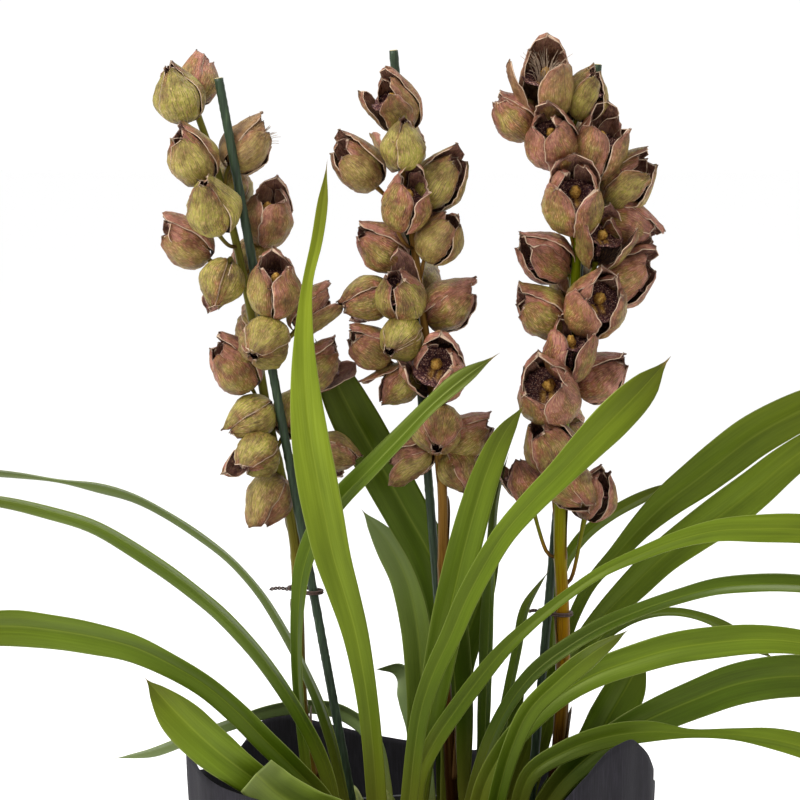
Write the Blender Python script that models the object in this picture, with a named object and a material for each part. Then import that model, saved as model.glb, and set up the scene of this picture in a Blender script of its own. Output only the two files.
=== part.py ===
"""A potted orchid with three flower spikes, standing in a nursery pot inside a charcoal paper wrap.

The frame has its origin at the centre of the underside of the wrap's flat base, with +X to the right,
+Y to the back and +Z up. Lists of places are in millimetres and are turned into metres by metres().
"""

import math

import bmesh
import bpy
import numpy as np
from mathutils import Vector

# ---------------------------------------------------------------- driving dimensions, in millimetres
GAP = 0.3

WRAP_WALL = 1.5
WRAP_BASE_RADIUS = 104.0
WRAP_TOP_RADIUS = 172.0
WRAP_SIDES = 48
WRAP_BELLY_HEIGHTS = (0.25, 0.55, 0.8, 1.0)
WRAP_BELLY_RADII = (0.55, 0.85, 0.97, 1.0)
# (azimuth in degrees from +X towards +Y, height of the rim): the corners of the gathered sheet stand up.
WRAP_RIM = (
    (-90, 184),
    (-66, 203),
    (-53, 235),
    (-45, 250),
    (-34, 262),
    (-27, 259),
    (-17, 232),
    (-8, 214),
    (0, 208),
    (20, 200),
    (45, 196),
    (62, 198),
    (80, 191),
    (98, 202),
    (115, 215),
    (126, 229),
    (135, 229),
    (141, 212),
    (150, 200),
    (165, 205),
    (178, 226),
    (187, 238),
    (198, 238),
    (208, 231),
    (220, 228),
    (232, 226),
    (248, 200),
)

POT_WALL = 1.6
POT_BASE_RADIUS = 80.0
POT_TOP_RADIUS = 105.0
POT_LIP = 2.5
POT_LIP_HEIGHT = 12.0
POT_HEIGHT = 170.0
POT_SIDES = 40

BARK_TOP = 158.0

STAKE_RADIUS = 3.5
STAKE_SIDES = 12
STAKE_FOOT = 25.0

SCAPE_BASE_RADIUS = 4.8
SCAPE_TIP_RADIUS = 2.2
SCAPE_SIDES = 6
PEDICEL_RADIUS = 1.5
PEDICEL_SIDES = 4

FLOWER_SIDES = 8
FLOWER_WALL = 2.0
BUD_OPENNESS = 0.15
STALK_STEPS = 7
STALK_MEETS_BACK = 0.45
STALK_ENDS_INSIDE = 0.3
STALK_DROP = 12.0
STALK_SAG = 2.0
STALK_SWING = 8.0
CHANNEL_TOP = 800.0

WIRE_RADIUS = 0.9
WIRE_SIDES = 6
WIRE_SLACK = 0.6

LEAF_STEP = 27.0
LEAST_LEAF_STATIONS = 7
LEAF_THICKNESS = 1.3
LEAF_FOLD = 0.13
LEAF_TIP = 2.0

MM = 0.001
TOWARDS_BACK = (0.0, 1.0, 0.0)

# Pseudobulbs: (x, y, radius, height).
BULBS = (
    (-64, 36, 20, 46),
    (-26, 12, 15, 40),
    (2, -2, 12, 34),
    (-52, 66, 12, 32),
    (-84, -12, 13, 34),
)

# Leaves: name, roll of the blade about its own line at the base and at the tip in degrees (0 faces the
# front), shape of the end, and the centre line from the base up as (x, y, z, width of the blade there).
LEAVES = (
    ("leaf_01", 4, 10, "point", (
        (-28, -40, 165, 15), (-36, -50, 269, 15), (-48, -54, 339, 20), (-59, -57, 374, 25),
        (-71, -59, 433, 29),
        (-78, -60, 479, 25), (-81, -60, 528, 16), (-79, -58, 572, 8), (-73, -56, 600, 8), (-69, -55, 622, 9),
        (-65, -54, 660, 2))),
    ("leaf_02", 30, 40, "point", (
        (-74, -34, 165, 9), (-86, -38, 280, 9), (-86, -42, 345, 12), (-79, -43, 384, 16), (-62, -44, 415, 17),
        (-25, -46, 454, 16), (9, -48, 490, 13), (33, -48, 510, 14), (54, -46, 525, 3))),
    ("leaf_03", 0, 0, "point", (
        (25, 25, 165, 20), (27, 27, 260, 25), (15, 30, 350, 30), (-17, 34, 415, 34), (-48, 36, 472, 34),
        (-62, 36, 500, 26), (-76, 36, 528, 5))),
    ("leaf_04", 0, 15, "torn", (
        (-5, 32, 165, 18), (2, 38, 240, 22), (0, 44, 300, 24), (-8, 48, 345, 24), (-24, 50, 378, 21),
        (-42, 50, 400, 13))),
    ("leaf_05", 5, 0, "point", (
        (-12, -56, 165, 12), (0, -62, 272, 13), (20, -65, 325, 15), (34, -67, 358, 16), (60, -71, 404, 16),
        (100, -75, 448, 20), (126, -76, 476, 26), (149, -75, 499, 24), (172, -74, 525, 5))),
    ("leaf_06", 5, 5, "point", (
        (-10, -28, 165, 15), (8, -34, 270, 20), (21, -38, 340, 24), (37, -40, 408, 23), (54, -44, 459, 17),
        (73, -50, 490, 4))),
    ("leaf_07", 50, 60, "point", (
        (46, -2, 165, 12), (50, 4, 300, 16), (53, 8, 370, 13), (57, 11, 420, 8), (64, 12, 446, 3))),
    ("leaf_08", 10, 20, "point", (
        (-4, -44, 165, 13), (-1, -46, 224, 13), (21, -47, 264, 13), (37, -48, 287, 13), (58, -49, 314, 11),
        (88, -50, 342, 8), (126, -51, 370, 8), (160, -52, 386, 10), (197, -53, 399, 14), (230, -54, 402, 19),
        (268, -54, 402, 21), (310, -54, 396, 18), (350, -54, 383, 3))),
    ("leaf_09", 10, 15, "point", (
        (60, 38, 165, 14), (92, 44, 255, 10), (120, 52, 332, 9), (141, 60, 358, 12), (166, 70, 385, 18),
        (192, 80, 407, 26), (218, 90, 424, 31), (248, 100, 446, 33), (289, 112, 467, 30), (325, 118, 481, 21),
        (352, 121, 491, 4))),
    ("leaf_10", 0, 10, "point", (
        (74, 28, 165, 12), (96, 29, 250, 12), (112, 34, 290, 14), (137, 42, 323, 18), (155, 46, 341, 22),
        (180, 50, 365, 25), (202, 54, 381, 28), (227, 58, 398, 31), (252, 61, 417, 29), (282, 64, 441, 24),
        (318, 68, 462, 17), (350, 71, 474, 4))),
    ("leaf_11", 35, 50, "point", (
        (30, -22, 165, 12), (48, -26, 235, 12), (70, -29, 280, 12), (94, -32, 305, 13), (127, -35, 327, 13),
        (150, -36, 338, 12), (186, -38, 351, 13), (221, -40, 359, 15), (268, -42, 360, 16),
        (310, -42, 354, 13), (352, -42, 342, 3))),
    ("leaf_12", 10, 20, "point", (
        (34, -50, 165, 13), (52, -56, 232, 15), (102, -64, 289, 18), (166, -70, 317, 22), (216, -74, 326, 22),
        (250, -75, 327, 19), (276, -76, 323, 17), (312, -76, 313, 14), (345, -76, 299, 3))),
    ("leaf_13", 20, -30, "point", (
        (46, -68, 165, 12), (58, -78, 232, 13), (73, -83, 274, 15), (87, -85, 292, 16), (106, -88, 310, 17),
        (124, -91, 325, 15), (143, -92, 337, 3))),
    ("leaf_14", 5, 20, "point", (
        (72, -12, 165, 13), (104, -16, 213, 18), (140, -15, 243, 22), (177, -12, 262, 26), (201, -8, 271, 28),
        (225, -3, 279, 30), (249, 3, 283, 31), (273, 9, 284, 31), (305, 11, 282, 26), (338, 12, 274, 4))),
    ("leaf_15", 15, 35, "point", (
        (66, -41, 165, 12), (73, -42, 210, 13), (87, -43, 232, 14), (108, -44, 242, 16), (127, -44, 249, 17),
        (150, -44, 254, 17), (174, -43, 254, 13), (192, -43, 253, 7), (212, -42, 253, 7), (232, -41, 251, 11),
        (252, -40, 248, 16), (268, -40, 245, 19), (300, -38, 231, 17), (335, -36, 209, 3))),
    ("leaf_16", 0, 5, "point", (
        (84, 30, 165, 12), (100, 31, 195, 20), (118, 31, 214, 26), (133, 31, 234, 30), (144, 30, 256, 31),
        (155, 30, 275, 27), (166, 30, 297, 4))),
    ("leaf_17", 50, 65, "point", (
        (-46, -22, 165, 12), (-64, -24, 250, 14), (-90, -24, 313, 14), (-127, -27, 370, 14),
        (-185, -29, 414, 14),
        (-215, -29, 427, 19), (-240, -29, 433, 17), (-264, -29, 435, 6), (-300, -28, 441, 17),
        (-345, -25, 442, 13), (-372, -23, 441, 3))),
    ("leaf_18", 40, 50, "point", (
        (-56, -46, 165, 12), (-67, -50, 232, 15), (-106, -53, 304, 17), (-154, -56, 356, 18),
        (-216, -58, 400, 18),
        (-255, -58, 415, 17), (-300, -56, 425, 15), (-340, -54, 426, 13), (-368, -52, 425, 3))),
    ("leaf_19", 5, 20, "point", (
        (-44, -62, 165, 14), (-74, -70, 220, 16), (-95, -73, 241, 17), (-129, -76, 277, 17),
        (-152, -78, 297, 17),
        (-171, -80, 309, 18), (-189, -82, 320, 20), (-212, -83, 327, 23), (-235, -84, 333, 26),
        (-263, -84, 337, 27), (-290, -84, 339, 28), (-325, -84, 336, 22), (-366, -82, 324, 4))),
    ("leaf_20", 0, 5, "point", (
        (-24, -66, 167, 20), (-60, -78, 197, 20), (-98, -87, 219, 22), (-124, -91, 238, 26),
        (-141, -93, 252, 30), (-163, -95, 273, 31), (-180, -97, 293, 20), (-190, -98, 304, 5))),
    ("leaf_21", 35, 45, "point", (
        (-22, 50, 165, 12), (-30, 58, 220, 15), (-50, 70, 241, 18), (-70, 78, 247, 19), (-90, 84, 247, 16),
        (-123, 88, 240, 15), (-143, 90, 232, 14), (-181, 93, 218, 14), (-206, 95, 208, 12),
        (-233, 96, 202, 3))),
    ("leaf_22", 0, 0, "cut", (
        (-10, -78, 168, 22), (-44, -92, 198, 28), (-74, -102, 211, 33), (-98, -106, 225, 34),
        (-114, -108, 240, 31))),
    ("leaf_23", 0, 0, "cut", (
        (20, -82, 165, 18), (25, -83, 182, 22), (29, -84, 198, 26), (31, -86, 214, 28))),
    ("leaf_24", 10, 60, "point", (
        (8, 66, 165, 12), (2, 70, 220, 18), (-6, 72, 258, 24), (-16, 74, 282, 20), (-32, 74, 276, 5))),
    ("leaf_25", 0, 10, "point", (
        (20, 42, 165, 14), (26, 44, 270, 24), (44, 48, 330, 20), (60, 50, 372, 4))),
    ("leaf_26", 10, 20, "point", (
        (52, 18, 165, 16), (57, 20, 215, 20), (68, 24, 255, 16), (78, 27, 282, 4))),
    ("leaf_27", 30, 60, "point", (
        (56, -16, 165, 8), (60, -16, 250, 9), (70, -14, 300, 10), (76, -12, 335, 10), (92, -10, 364, 3))),
    ("leaf_28", 30, 40, "point", (
        (66, 60, 165, 8), (90, 76, 215, 9), (101, 92, 262, 9), (103, 103, 305, 9), (108, 110, 337, 10),
        (116, 115, 357, 10), (128, 119, 371, 11), (150, 125, 387, 11), (174, 131, 399, 10),
        (200, 137, 411, 3))),
    ("leaf_29", 20, 40, "point", (
        (58, 60, 165, 12), (92, 68, 235, 12), (130, 76, 292, 11), (164, 82, 314, 8), (183, 86, 318, 7),
        (216, 94, 311, 8), (233, 98, 303, 10), (252, 102, 288, 13), (272, 104, 278, 3))),
)

# Spikes: name, and the points of the flower stem from the bark up.
SCAPES = {
    "left": ((-60, 8, 161), (-84, 7, 243), (-89, 6, 344), (-93, 6, 394), (-110, 7, 474), (-124, 8, 560),
             (-142, 8, 639), (-162, 6, 700)),
    "middle": ((26, -1, 161), (22, -1, 229), (19, -1, 279), (17, -1, 360), (16, -2, 430), (6, -3, 520),
               (-4, -3, 600), (-14, -2, 690)),
    "right": ((94, 1, 161), (102, 1, 243), (104, 1, 315), (101, 1, 387), (102, 0, 450), (107, -2, 530),
              (112, -2, 600), (108, -2, 660), (98, -2, 700)),
}

# Stakes: the top end, and where each passes the foot height inside the bark.
STAKES = {
    "left": ((-143, -7, 718), (-19, -7, STAKE_FOOT)),
    "middle": ((-19, 12, 738), (39, 12, STAKE_FOOT)),
    "right": ((127, 14, 728), (68, 14, STAKE_FOOT)),
}

# Wire ties: spike, height, and how far the twisted end stands out to the left.
TIES = (("left", 349, 14), ("right", 331, 8))

# Flowers of each spike: centre x, y, z, width, the way that the cup opens, and how open it is from 0 to 1.
FLOWERS = {
    "left": (
        (-173, -4, 706, 35, (-1, -1, 2), 0.1),
        (-158, 14, 716, 29, (1, 2, 3), 0.5),
        (-163, -14, 662, 35, (-2, -2, 2), 0.4),
        (-124, 10, 668, 33, (3, 1, 1), 0.6),
        (-148, -26, 628, 37, (-1, -3, 2), 0.2),
        (-110, 14, 618, 36, (1, -1, 3), 0.7),
        (-168, 0, 600, 33, (-3, -1, 0), 0.7),
        (-142, -16, 571, 31, (-1, -1, -3), 0.1),
        (-104, -30, 570, 37, (0, -2, 2), 0.7),
        (-78, 12, 550, 31, (3, 1, 1), 0.5),
        (-112, -30, 530, 36, (-1, -3, -1), 0.2),
        (-134, -2, 512, 35, (-2, -1, 1), 0.5),
        (-72, 12, 510, 33, (3, 0, 1), 0.5),
        (-122, -4, 474, 31, (-2, -1, -1), 0.2),
        (-118, -16, 448, 32, (-1, -2, -1), 0.2),
        (-90, 16, 476, 33, (1, 2, 0), 0.4),
        (-110, 4, 414, 33, (-1, -1, -2), 0.4),
        (-62, 14, 446, 29, (3, 1, -1), 0.3),
        (-138, 30, 640, 33, (0, 3, 1), 0.5),
        (-120, 32, 586, 35, (1, 3, 1), 0.5),
        (-118, 32, 536, 33, (-1, 3, 0), 0.4),
    ),
    "middle": (
        (-18, -6, 698, 35, (-2, -2, 2), 0.6),
        (-12, -26, 672, 31, (0, -1, 2), 0.1),
        (-44, -6, 656, 33, (-3, -1, 1), 0.7),
        (14, -10, 645, 36, (2, -1, 1), 0.4),
        (-10, -26, 630, 35, (1, -2, 2), 0.7),
        (-28, 0, 598, 33, (-3, -1, 0), 0.4),
        (14, -16, 606, 34, (2, -2, 1), 0.5),
        (-14, -22, 566, 36, (-1, -3, 1), 0.3),
        (-38, 0, 560, 31, (-3, 0, -1), 0.3),
        (22, 2, 556, 35, (3, 0, 0), 0.4),
        (-14, -22, 533, 31, (-1, -2, -1), 0.1),
        (-36, -2, 526, 29, (-3, -1, 0), 0.5),
        (12, -20, 510, 41, (0, -3, 0), 0.8),
        (-16, 0, 498, 29, (-2, 0, -2), 0.1),
        (12, -22, 468, 35, (0, -2, -1), 0.1),
        (34, 2, 460, 33, (3, 0, 0), 0.3),
        (-6, 4, 446, 31, (-2, 1, -1), 0.3),
        (28, -4, 436, 29, (1, -1, -2), 0.2),
        (-12, 32, 668, 33, (0, 3, 1), 0.5),
        (-6, 34, 616, 35, (0, 3, 0), 0.5),
        (2, 34, 566, 33, (1, 3, 0), 0.5),
        (6, 34, 512, 35, (-1, 3, 0), 0.5),
    ),
    "right": (
        (88, -8, 712, 42, (0, -2, 2), 0.8),
        (117, -6, 706, 33, (2, -1, 3), 0.2),
        (66, -4, 690, 31, (-3, -1, 1), 0.3),
        (92, -20, 673, 37, (-1, -3, 1), 0.6),
        (126, -12, 668, 37, (1, -1, 2), 0.9),
        (107, -24, 630, 42, (0, -3, 1), 0.8),
        (146, -4, 644, 38, (3, -1, 1), 0.4),
        (148, 0, 612, 35, (3, 0, -1), 0.3),
        (128, -18, 602, 36, (1, -2, 2), 0.3),
        (88, -4, 590, 36, (-3, -1, 0), 0.3),
        (146, -2, 574, 37, (3, -1, 0), 0.6),
        (123, -24, 556, 42, (1, -3, 0), 0.8),
        (86, -6, 551, 34, (-3, -1, 0), 0.5),
        (106, -22, 524, 37, (0, -1, 2), 0.8),
        (91, -24, 494, 44, (-1, -3, 0), 0.8),
        (130, -2, 504, 35, (3, -1, 0), 0.3),
        (92, -20, 456, 37, (-1, -1, 1), 0.4),
        (74, 0, 430, 30, (-2, 0, -1), 0.2),
        (108, -12, 424, 33, (1, -1, -1), 0.3),
        (126, 4, 418, 33, (2, 0, -2), 0.2),
        (104, 34, 676, 35, (0, 3, 1), 0.5),
        (116, 34, 622, 35, (0, 3, 0), 0.5),
        (112, 34, 570, 35, (0, 3, 0), 0.5),
        (108, 34, 516, 35, (0, 3, 0), 0.5),
        (104, 34, 464, 33, (0, 3, -1), 0.4),
    ),
}

# Colours as sRGB hex, with roughness.
PAPER = ("charcoal_paper", "#3a3840", 0.85)
PLASTIC = ("black_pot_plastic", "#17181a", 0.5)
BARK = ("bark_mix", "#5a3a24", 0.9)
BULB = ("pseudobulb_green", "#6f7a3a", 0.5)
LEAF = ("leaf_green", "#4f6f1a", 0.42)
FLOWER = ("dried_flower", "#806544", 0.6)
STAKE = ("stake_green", "#34493a", 0.45)
WIRE = ("wire_brown", "#3a2a24", 0.5)


def metres(points):
    """Millimetre places as an array in metres."""
    return np.asarray(points, float) * MM


def linear(hex_colour):
    """An sRGB hex colour as linear RGBA."""
    values = [int(hex_colour[i:i + 2], 16) / 255 for i in (1, 3, 5)]
    return [v / 12.92 if v <= 0.04045 else ((v + 0.055) / 1.055) ** 2.4 for v in values] + [1.0]


def material(name, hex_colour, roughness):
    """A plain Principled material, made once."""
    found = bpy.data.materials.get(name)
    if found:
        return found
    made = bpy.data.materials.new(name)
    made.use_nodes = True
    shader = made.node_tree.nodes["Principled BSDF"]
    shader.inputs["Base Color"].default_value = linear(hex_colour)
    shader.inputs["Roughness"].default_value = roughness
    shader.inputs["Metallic"].default_value = 0.0
    made.diffuse_color = linear(hex_colour)
    return made


def smooth_line(points, count):
    """A Catmull-Rom curve through the points, sampled at even steps of its own length.

    A point may hold more than its three coordinates; the rest is carried along with them.
    """
    points = np.asarray(points, float)
    padded = np.vstack([2 * points[0] - points[1], points, 2 * points[-1] - points[-2]])
    fine = []
    for i in range(len(points) - 1):
        before, start, end, after = padded[i:i + 4]
        t = np.linspace(0, 1, 24, endpoint=False)[:, None]
        fine.append(0.5 * (2 * start + (end - before) * t + (2 * before - 5 * start + 4 * end - after) * t**2
                           + (3 * start - before - 3 * end + after) * t**3))
    fine = np.vstack(fine + [points[-1:]])
    steps = np.linalg.norm(np.diff(fine[:, :3], axis=0), axis=1)
    length = np.concatenate([[0], np.cumsum(steps)])
    even = np.linspace(0, length[-1], count)
    return np.stack([np.interp(even, length, fine[:, k]) for k in range(fine.shape[1])], axis=1)


def directions(line):
    """Unit tangents along a line of points."""
    along = np.gradient(line, axis=0)
    return along / np.linalg.norm(along, axis=1)[:, None]


def body(name, look, loops, pairs, caps):
    """One closed body: quads between the paired loops of points, and a cap on each listed loop."""
    mesh = bpy.data.meshes.new(name)
    bm = bmesh.new()
    loops = [[bm.verts.new(point) for point in loop] for loop in loops]
    for low, high in pairs:
        for k in range(len(loops[low])):
            after = (k + 1) % len(loops[low])
            bm.faces.new((loops[low][k], loops[low][after], loops[high][after], loops[high][k]))
    for index, tip in caps:
        if tip is None:
            bm.faces.new(loops[index])
            continue
        point = bm.verts.new(tip)
        for k in range(len(loops[index])):
            bm.faces.new((loops[index][k], loops[index][(k + 1) % len(loops[index])], point))
    bmesh.ops.recalc_face_normals(bm, faces=bm.faces)
    bm.to_mesh(mesh)
    bm.free()
    for face in mesh.polygons:
        face.use_smooth = True
    mesh.materials.append(material(*look))
    made = bpy.data.objects.new(name, mesh)
    bpy.context.collection.objects.link(made)
    return made


def loft(name, rings, look, end_point=None):
    """A body through rings of points, each ring in the same order, with flat ends or one end point."""
    last = len(rings) - 1
    pairs = [(k, k + 1) for k in range(last)]
    return body(name, look, rings, pairs, ((0, None), (last, end_point)))


def closed_loft(name, rings, look):
    """A body through rings of points whose last ring joins its first."""
    pairs = [(k, (k + 1) % len(rings)) for k in range(len(rings))]
    return body(name, look, rings, pairs, ())


def circle(radius, height, sides):
    """A ring about the Z axis, in millimetres."""
    angle = np.arange(sides) * 2 * math.pi / sides
    return np.stack([radius * np.cos(angle), radius * np.sin(angle), np.full(sides, height)], axis=1)


def revolve(name, profile, sides, look):
    """A round body from (radius, height) pairs, from one flat end over the outline to the other."""
    return loft(name, [metres(circle(radius, height, sides)) for radius, height in profile], look)


def tube(name, line, radii, sides, look):
    """A round tube of changing radius along a line of points in millimetres, closed at both ends."""
    line = np.asarray(line, float)
    tangent = directions(line)
    side = np.cross(tangent, TOWARDS_BACK)
    side /= np.linalg.norm(side, axis=1)[:, None]
    other = np.cross(tangent, side)
    angle = np.arange(sides) * 2 * math.pi / sides
    rings = (line[:, None] + np.asarray(radii, float)[:, None, None]
             * (np.cos(angle)[None, :, None] * side[:, None] + np.sin(angle)[None, :, None] * other[:, None]))
    return loft(name, metres(rings), look)


def boolean(target, cutter, operation):
    """Applies one exact Boolean and removes the other object."""
    modifier = target.modifiers.new("join", "BOOLEAN")
    modifier.operation = operation
    modifier.solver = "EXACT"
    modifier.object = cutter
    bpy.context.view_layer.update()
    evaluated = target.evaluated_get(bpy.context.evaluated_depsgraph_get())
    result = bpy.data.meshes.new_from_object(evaluated)
    target.modifiers.clear()
    target.data = result
    bpy.data.objects.remove(cutter)
    return target


def rim_height(azimuth):
    """Height of the wrap's rim at azimuths in degrees, eased between the listed corners and dips."""
    known = np.array(WRAP_RIM + ((WRAP_RIM[0][0] + 360, WRAP_RIM[0][1]),), float)
    azimuth = (np.asarray(azimuth, float) + 90) % 360 - 90
    index = np.clip(np.searchsorted(known[:, 0], azimuth, side="right") - 1, 0, len(known) - 2)
    share = (azimuth - known[index, 0]) / (known[index + 1, 0] - known[index, 0])
    eased = (1 - np.cos(share * math.pi)) / 2
    return known[index, 1] + (known[index + 1, 1] - known[index, 1]) * eased


def paper_wrap():
    """A gathered sheet as a thin shell: a flat base, a belly and an uneven rim."""
    azimuth = np.arange(WRAP_SIDES) * 360 / WRAP_SIDES
    angle = np.radians(azimuth)
    rim = rim_height(azimuth)

    def ring(radius, height):
        level = np.broadcast_to(height, angle.shape)
        return np.stack([radius * np.cos(angle), radius * np.sin(angle), level], 1)

    spread = WRAP_TOP_RADIUS - WRAP_BASE_RADIUS
    walls = [(WRAP_BASE_RADIUS + spread * r, rim * h) for r, h in zip(WRAP_BELLY_RADII, WRAP_BELLY_HEIGHTS)]
    outer = [ring(WRAP_BASE_RADIUS, 0.0)] + [ring(radius, height) for radius, height in walls]
    inner = [ring(radius - WRAP_WALL, height) for radius, height in reversed(walls)]
    inner.append(ring(WRAP_BASE_RADIUS - WRAP_WALL, WRAP_WALL))
    return loft("paper_wrap", metres(outer + inner), PAPER)


def nursery_pot():
    """A thin tapered pot with a rolled lip, standing on the wrap's floor."""
    foot = WRAP_WALL + GAP
    top = foot + POT_HEIGHT
    lip = top - POT_LIP_HEIGHT
    profile = (
        (POT_BASE_RADIUS, foot),
        (POT_TOP_RADIUS - POT_LIP, lip),
        (POT_TOP_RADIUS, lip),
        (POT_TOP_RADIUS, top),
        (POT_TOP_RADIUS - POT_LIP - POT_WALL, top),
        (POT_BASE_RADIUS - POT_WALL, foot + POT_WALL),
    )
    return revolve("nursery_pot", profile, POT_SIDES, PLASTIC)


def bark_mix():
    """The growing mix, filling the pot to below its lip, with a hole for each stake."""
    foot = WRAP_WALL + GAP + POT_WALL + GAP
    slope = (POT_TOP_RADIUS - POT_LIP - POT_BASE_RADIUS) / (POT_HEIGHT - POT_WALL)
    low_radius = POT_BASE_RADIUS - POT_WALL - 2 * GAP
    top_radius = low_radius + slope * (BARK_TOP - foot)
    mix = revolve("bark_mix", ((low_radius, foot), (top_radius, BARK_TOP)), POT_SIDES, BARK)
    for top, low in STAKES.values():
        hole = tube("hole", smooth_line((np.array(low) - (0, 0, GAP), top), 2),
                    (STAKE_RADIUS + GAP,) * 2, STAKE_SIDES, BARK)
        boolean(mix, hole, "DIFFERENCE")
    return mix


def pseudobulb(number, x, y, radius, height):
    """An egg-shaped storage stem with a flat foot on the mix."""
    shares = ((0.8, 0.0), (1.0, 0.3), (0.86, 0.6), (0.5, 0.88), (0.16, 1.0))
    rings = []
    for wide, high in shares:
        ring = circle(radius * wide, BARK_TOP + GAP + height * high, 12)
        rings.append(ring + (x, y, 0))
    return loft(f"pseudobulb_{number}", metres(rings), BULB)


def leaf(name, roll_base, roll_tip, end, points):
    """A strap leaf: a shallow V section carried along its centre line, of the width given with each point."""
    ends = np.asarray(points, float)[:, :3]
    length = np.linalg.norm(np.diff(ends, axis=0), axis=1).sum()
    stations = max(LEAST_LEAF_STATIONS, round(length / LEAF_STEP))
    course = smooth_line(points, stations)
    line = course[:, :3]
    tangent = directions(line)
    side = np.cross(tangent, TOWARDS_BACK)
    side /= np.linalg.norm(side, axis=1)[:, None]
    depth = np.cross(side, tangent)
    roll = np.radians(np.linspace(roll_base, roll_tip, stations))[:, None]
    across = np.cos(roll) * side + np.sin(roll) * depth
    face = np.cross(tangent, across)
    half = course[:, 3:] / 2
    fold = 2 * half * LEAF_FOLD
    left = line - across * half + face * fold
    right = line + across * half + face * fold
    back = face * LEAF_THICKNESS
    rings = np.stack([left, line, right, right + back, line + back, left + back], axis=1)
    if end == "cut":
        return loft(name, metres(rings), LEAF)
    tip = line[-1] + tangent[-1] * LEAF_TIP
    return loft(name, metres(rings[:-1]), LEAF, metres(tip))


def axes_about(direction):
    """Two unit vectors square to a direction, and the direction made one unit long."""
    ahead = Vector(direction).normalized()
    side = ahead.cross(Vector((0.3, 0.2, 1.0))).normalized()
    return np.array(side), np.array(ahead.cross(side)), np.array(ahead)


def flower_cup(centre, width, direction, openness):
    """A half-open flower as one closed cup, or a closed bud where it is hardly open."""
    side, up, ahead = axes_about(direction)
    half = width / 2
    mouth = half * (0.35 + 0.55 * openness)
    outline = [(0.2 * half, -half), (0.75 * half, -0.7 * half), (half * 0.98, 0.0), (mouth, 0.95 * half)]
    if openness > BUD_OPENNESS:
        outline += [(mouth - FLOWER_WALL, 0.95 * half - 0.5), (0.35 * half, 0.1 * half)]
    angle = np.arange(FLOWER_SIDES) * 2 * math.pi / FLOWER_SIDES
    rings = [np.asarray(centre) + ahead * along
             + radius * (np.cos(angle)[:, None] * side + np.sin(angle)[:, None] * up)
             for radius, along in outline]
    return loft("flower", metres(rings), FLOWER)


def on_stake(name, height):
    """The point of a stake's axis at this height."""
    top, low = (np.array(end, float) for end in STAKES[name])
    return low + (top - low) * (height - low[2]) / (top[2] - low[2])


def stalk_points(name, joint, back, front):
    """The way of one flower stalk from the stem to the flower, bent to pass beside the stake."""
    middle = (joint + back) / 2 - (0, 0, STALK_SAG)
    between = joint + (back - joint) * np.linspace(0, 1, 9)[:, None]
    misses = [np.linalg.norm((point - on_stake(name, point[2]))[:2]) for point in between]
    if min(misses) < STALK_SWING:
        post = on_stake(name, middle[2])
        sideways = 1 if back[0] + joint[0] > 2 * post[0] else -1
        middle = np.array((post[0] + sideways * STALK_SWING, post[1], middle[2]))
    return joint, middle, back, front


def flower_spike(name, scape, flowers):
    """One flower stem with its flower stalks and flowers, all one body, with room left for the stake."""
    line = smooth_line(scape, 16)
    radii = SCAPE_BASE_RADIUS + (SCAPE_TIP_RADIUS - SCAPE_BASE_RADIUS) * np.linspace(0, 1, len(line))
    spike = tube(f"flower_spike_{name}", line, radii, SCAPE_SIDES, FLOWER)
    fine = smooth_line(scape, 200)
    for x, y, z, width, direction, openness in flowers:
        centre = np.array((x, y, z), float)
        ahead = axes_about(direction)[2]
        back = centre - ahead * width * STALK_MEETS_BACK
        joint = fine[np.argmin(np.linalg.norm(fine - (back - (0, 0, STALK_DROP)), axis=1))]
        way = stalk_points(name, joint, back, centre - ahead * width * STALK_ENDS_INSIDE)
        course = smooth_line(way, STALK_STEPS)
        stalk = tube("stalk", course, (PEDICEL_RADIUS,) * STALK_STEPS, PEDICEL_SIDES, FLOWER)
        boolean(spike, stalk, "UNION")
        boolean(spike, flower_cup(centre, width, direction, openness), "UNION")
    ends = (on_stake(name, 0.0), on_stake(name, CHANNEL_TOP))
    channel = tube("channel", ends, (STAKE_RADIUS + GAP,) * 2, STAKE_SIDES, FLOWER)
    return boolean(spike, channel, "DIFFERENCE")


def stake(name, top, low):
    """A straight green stick pushed into the mix."""
    line = smooth_line((low, top), 2)
    return tube(f"stake_{name}", line, (STAKE_RADIUS,) * 2, STAKE_SIDES, STAKE)


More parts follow.
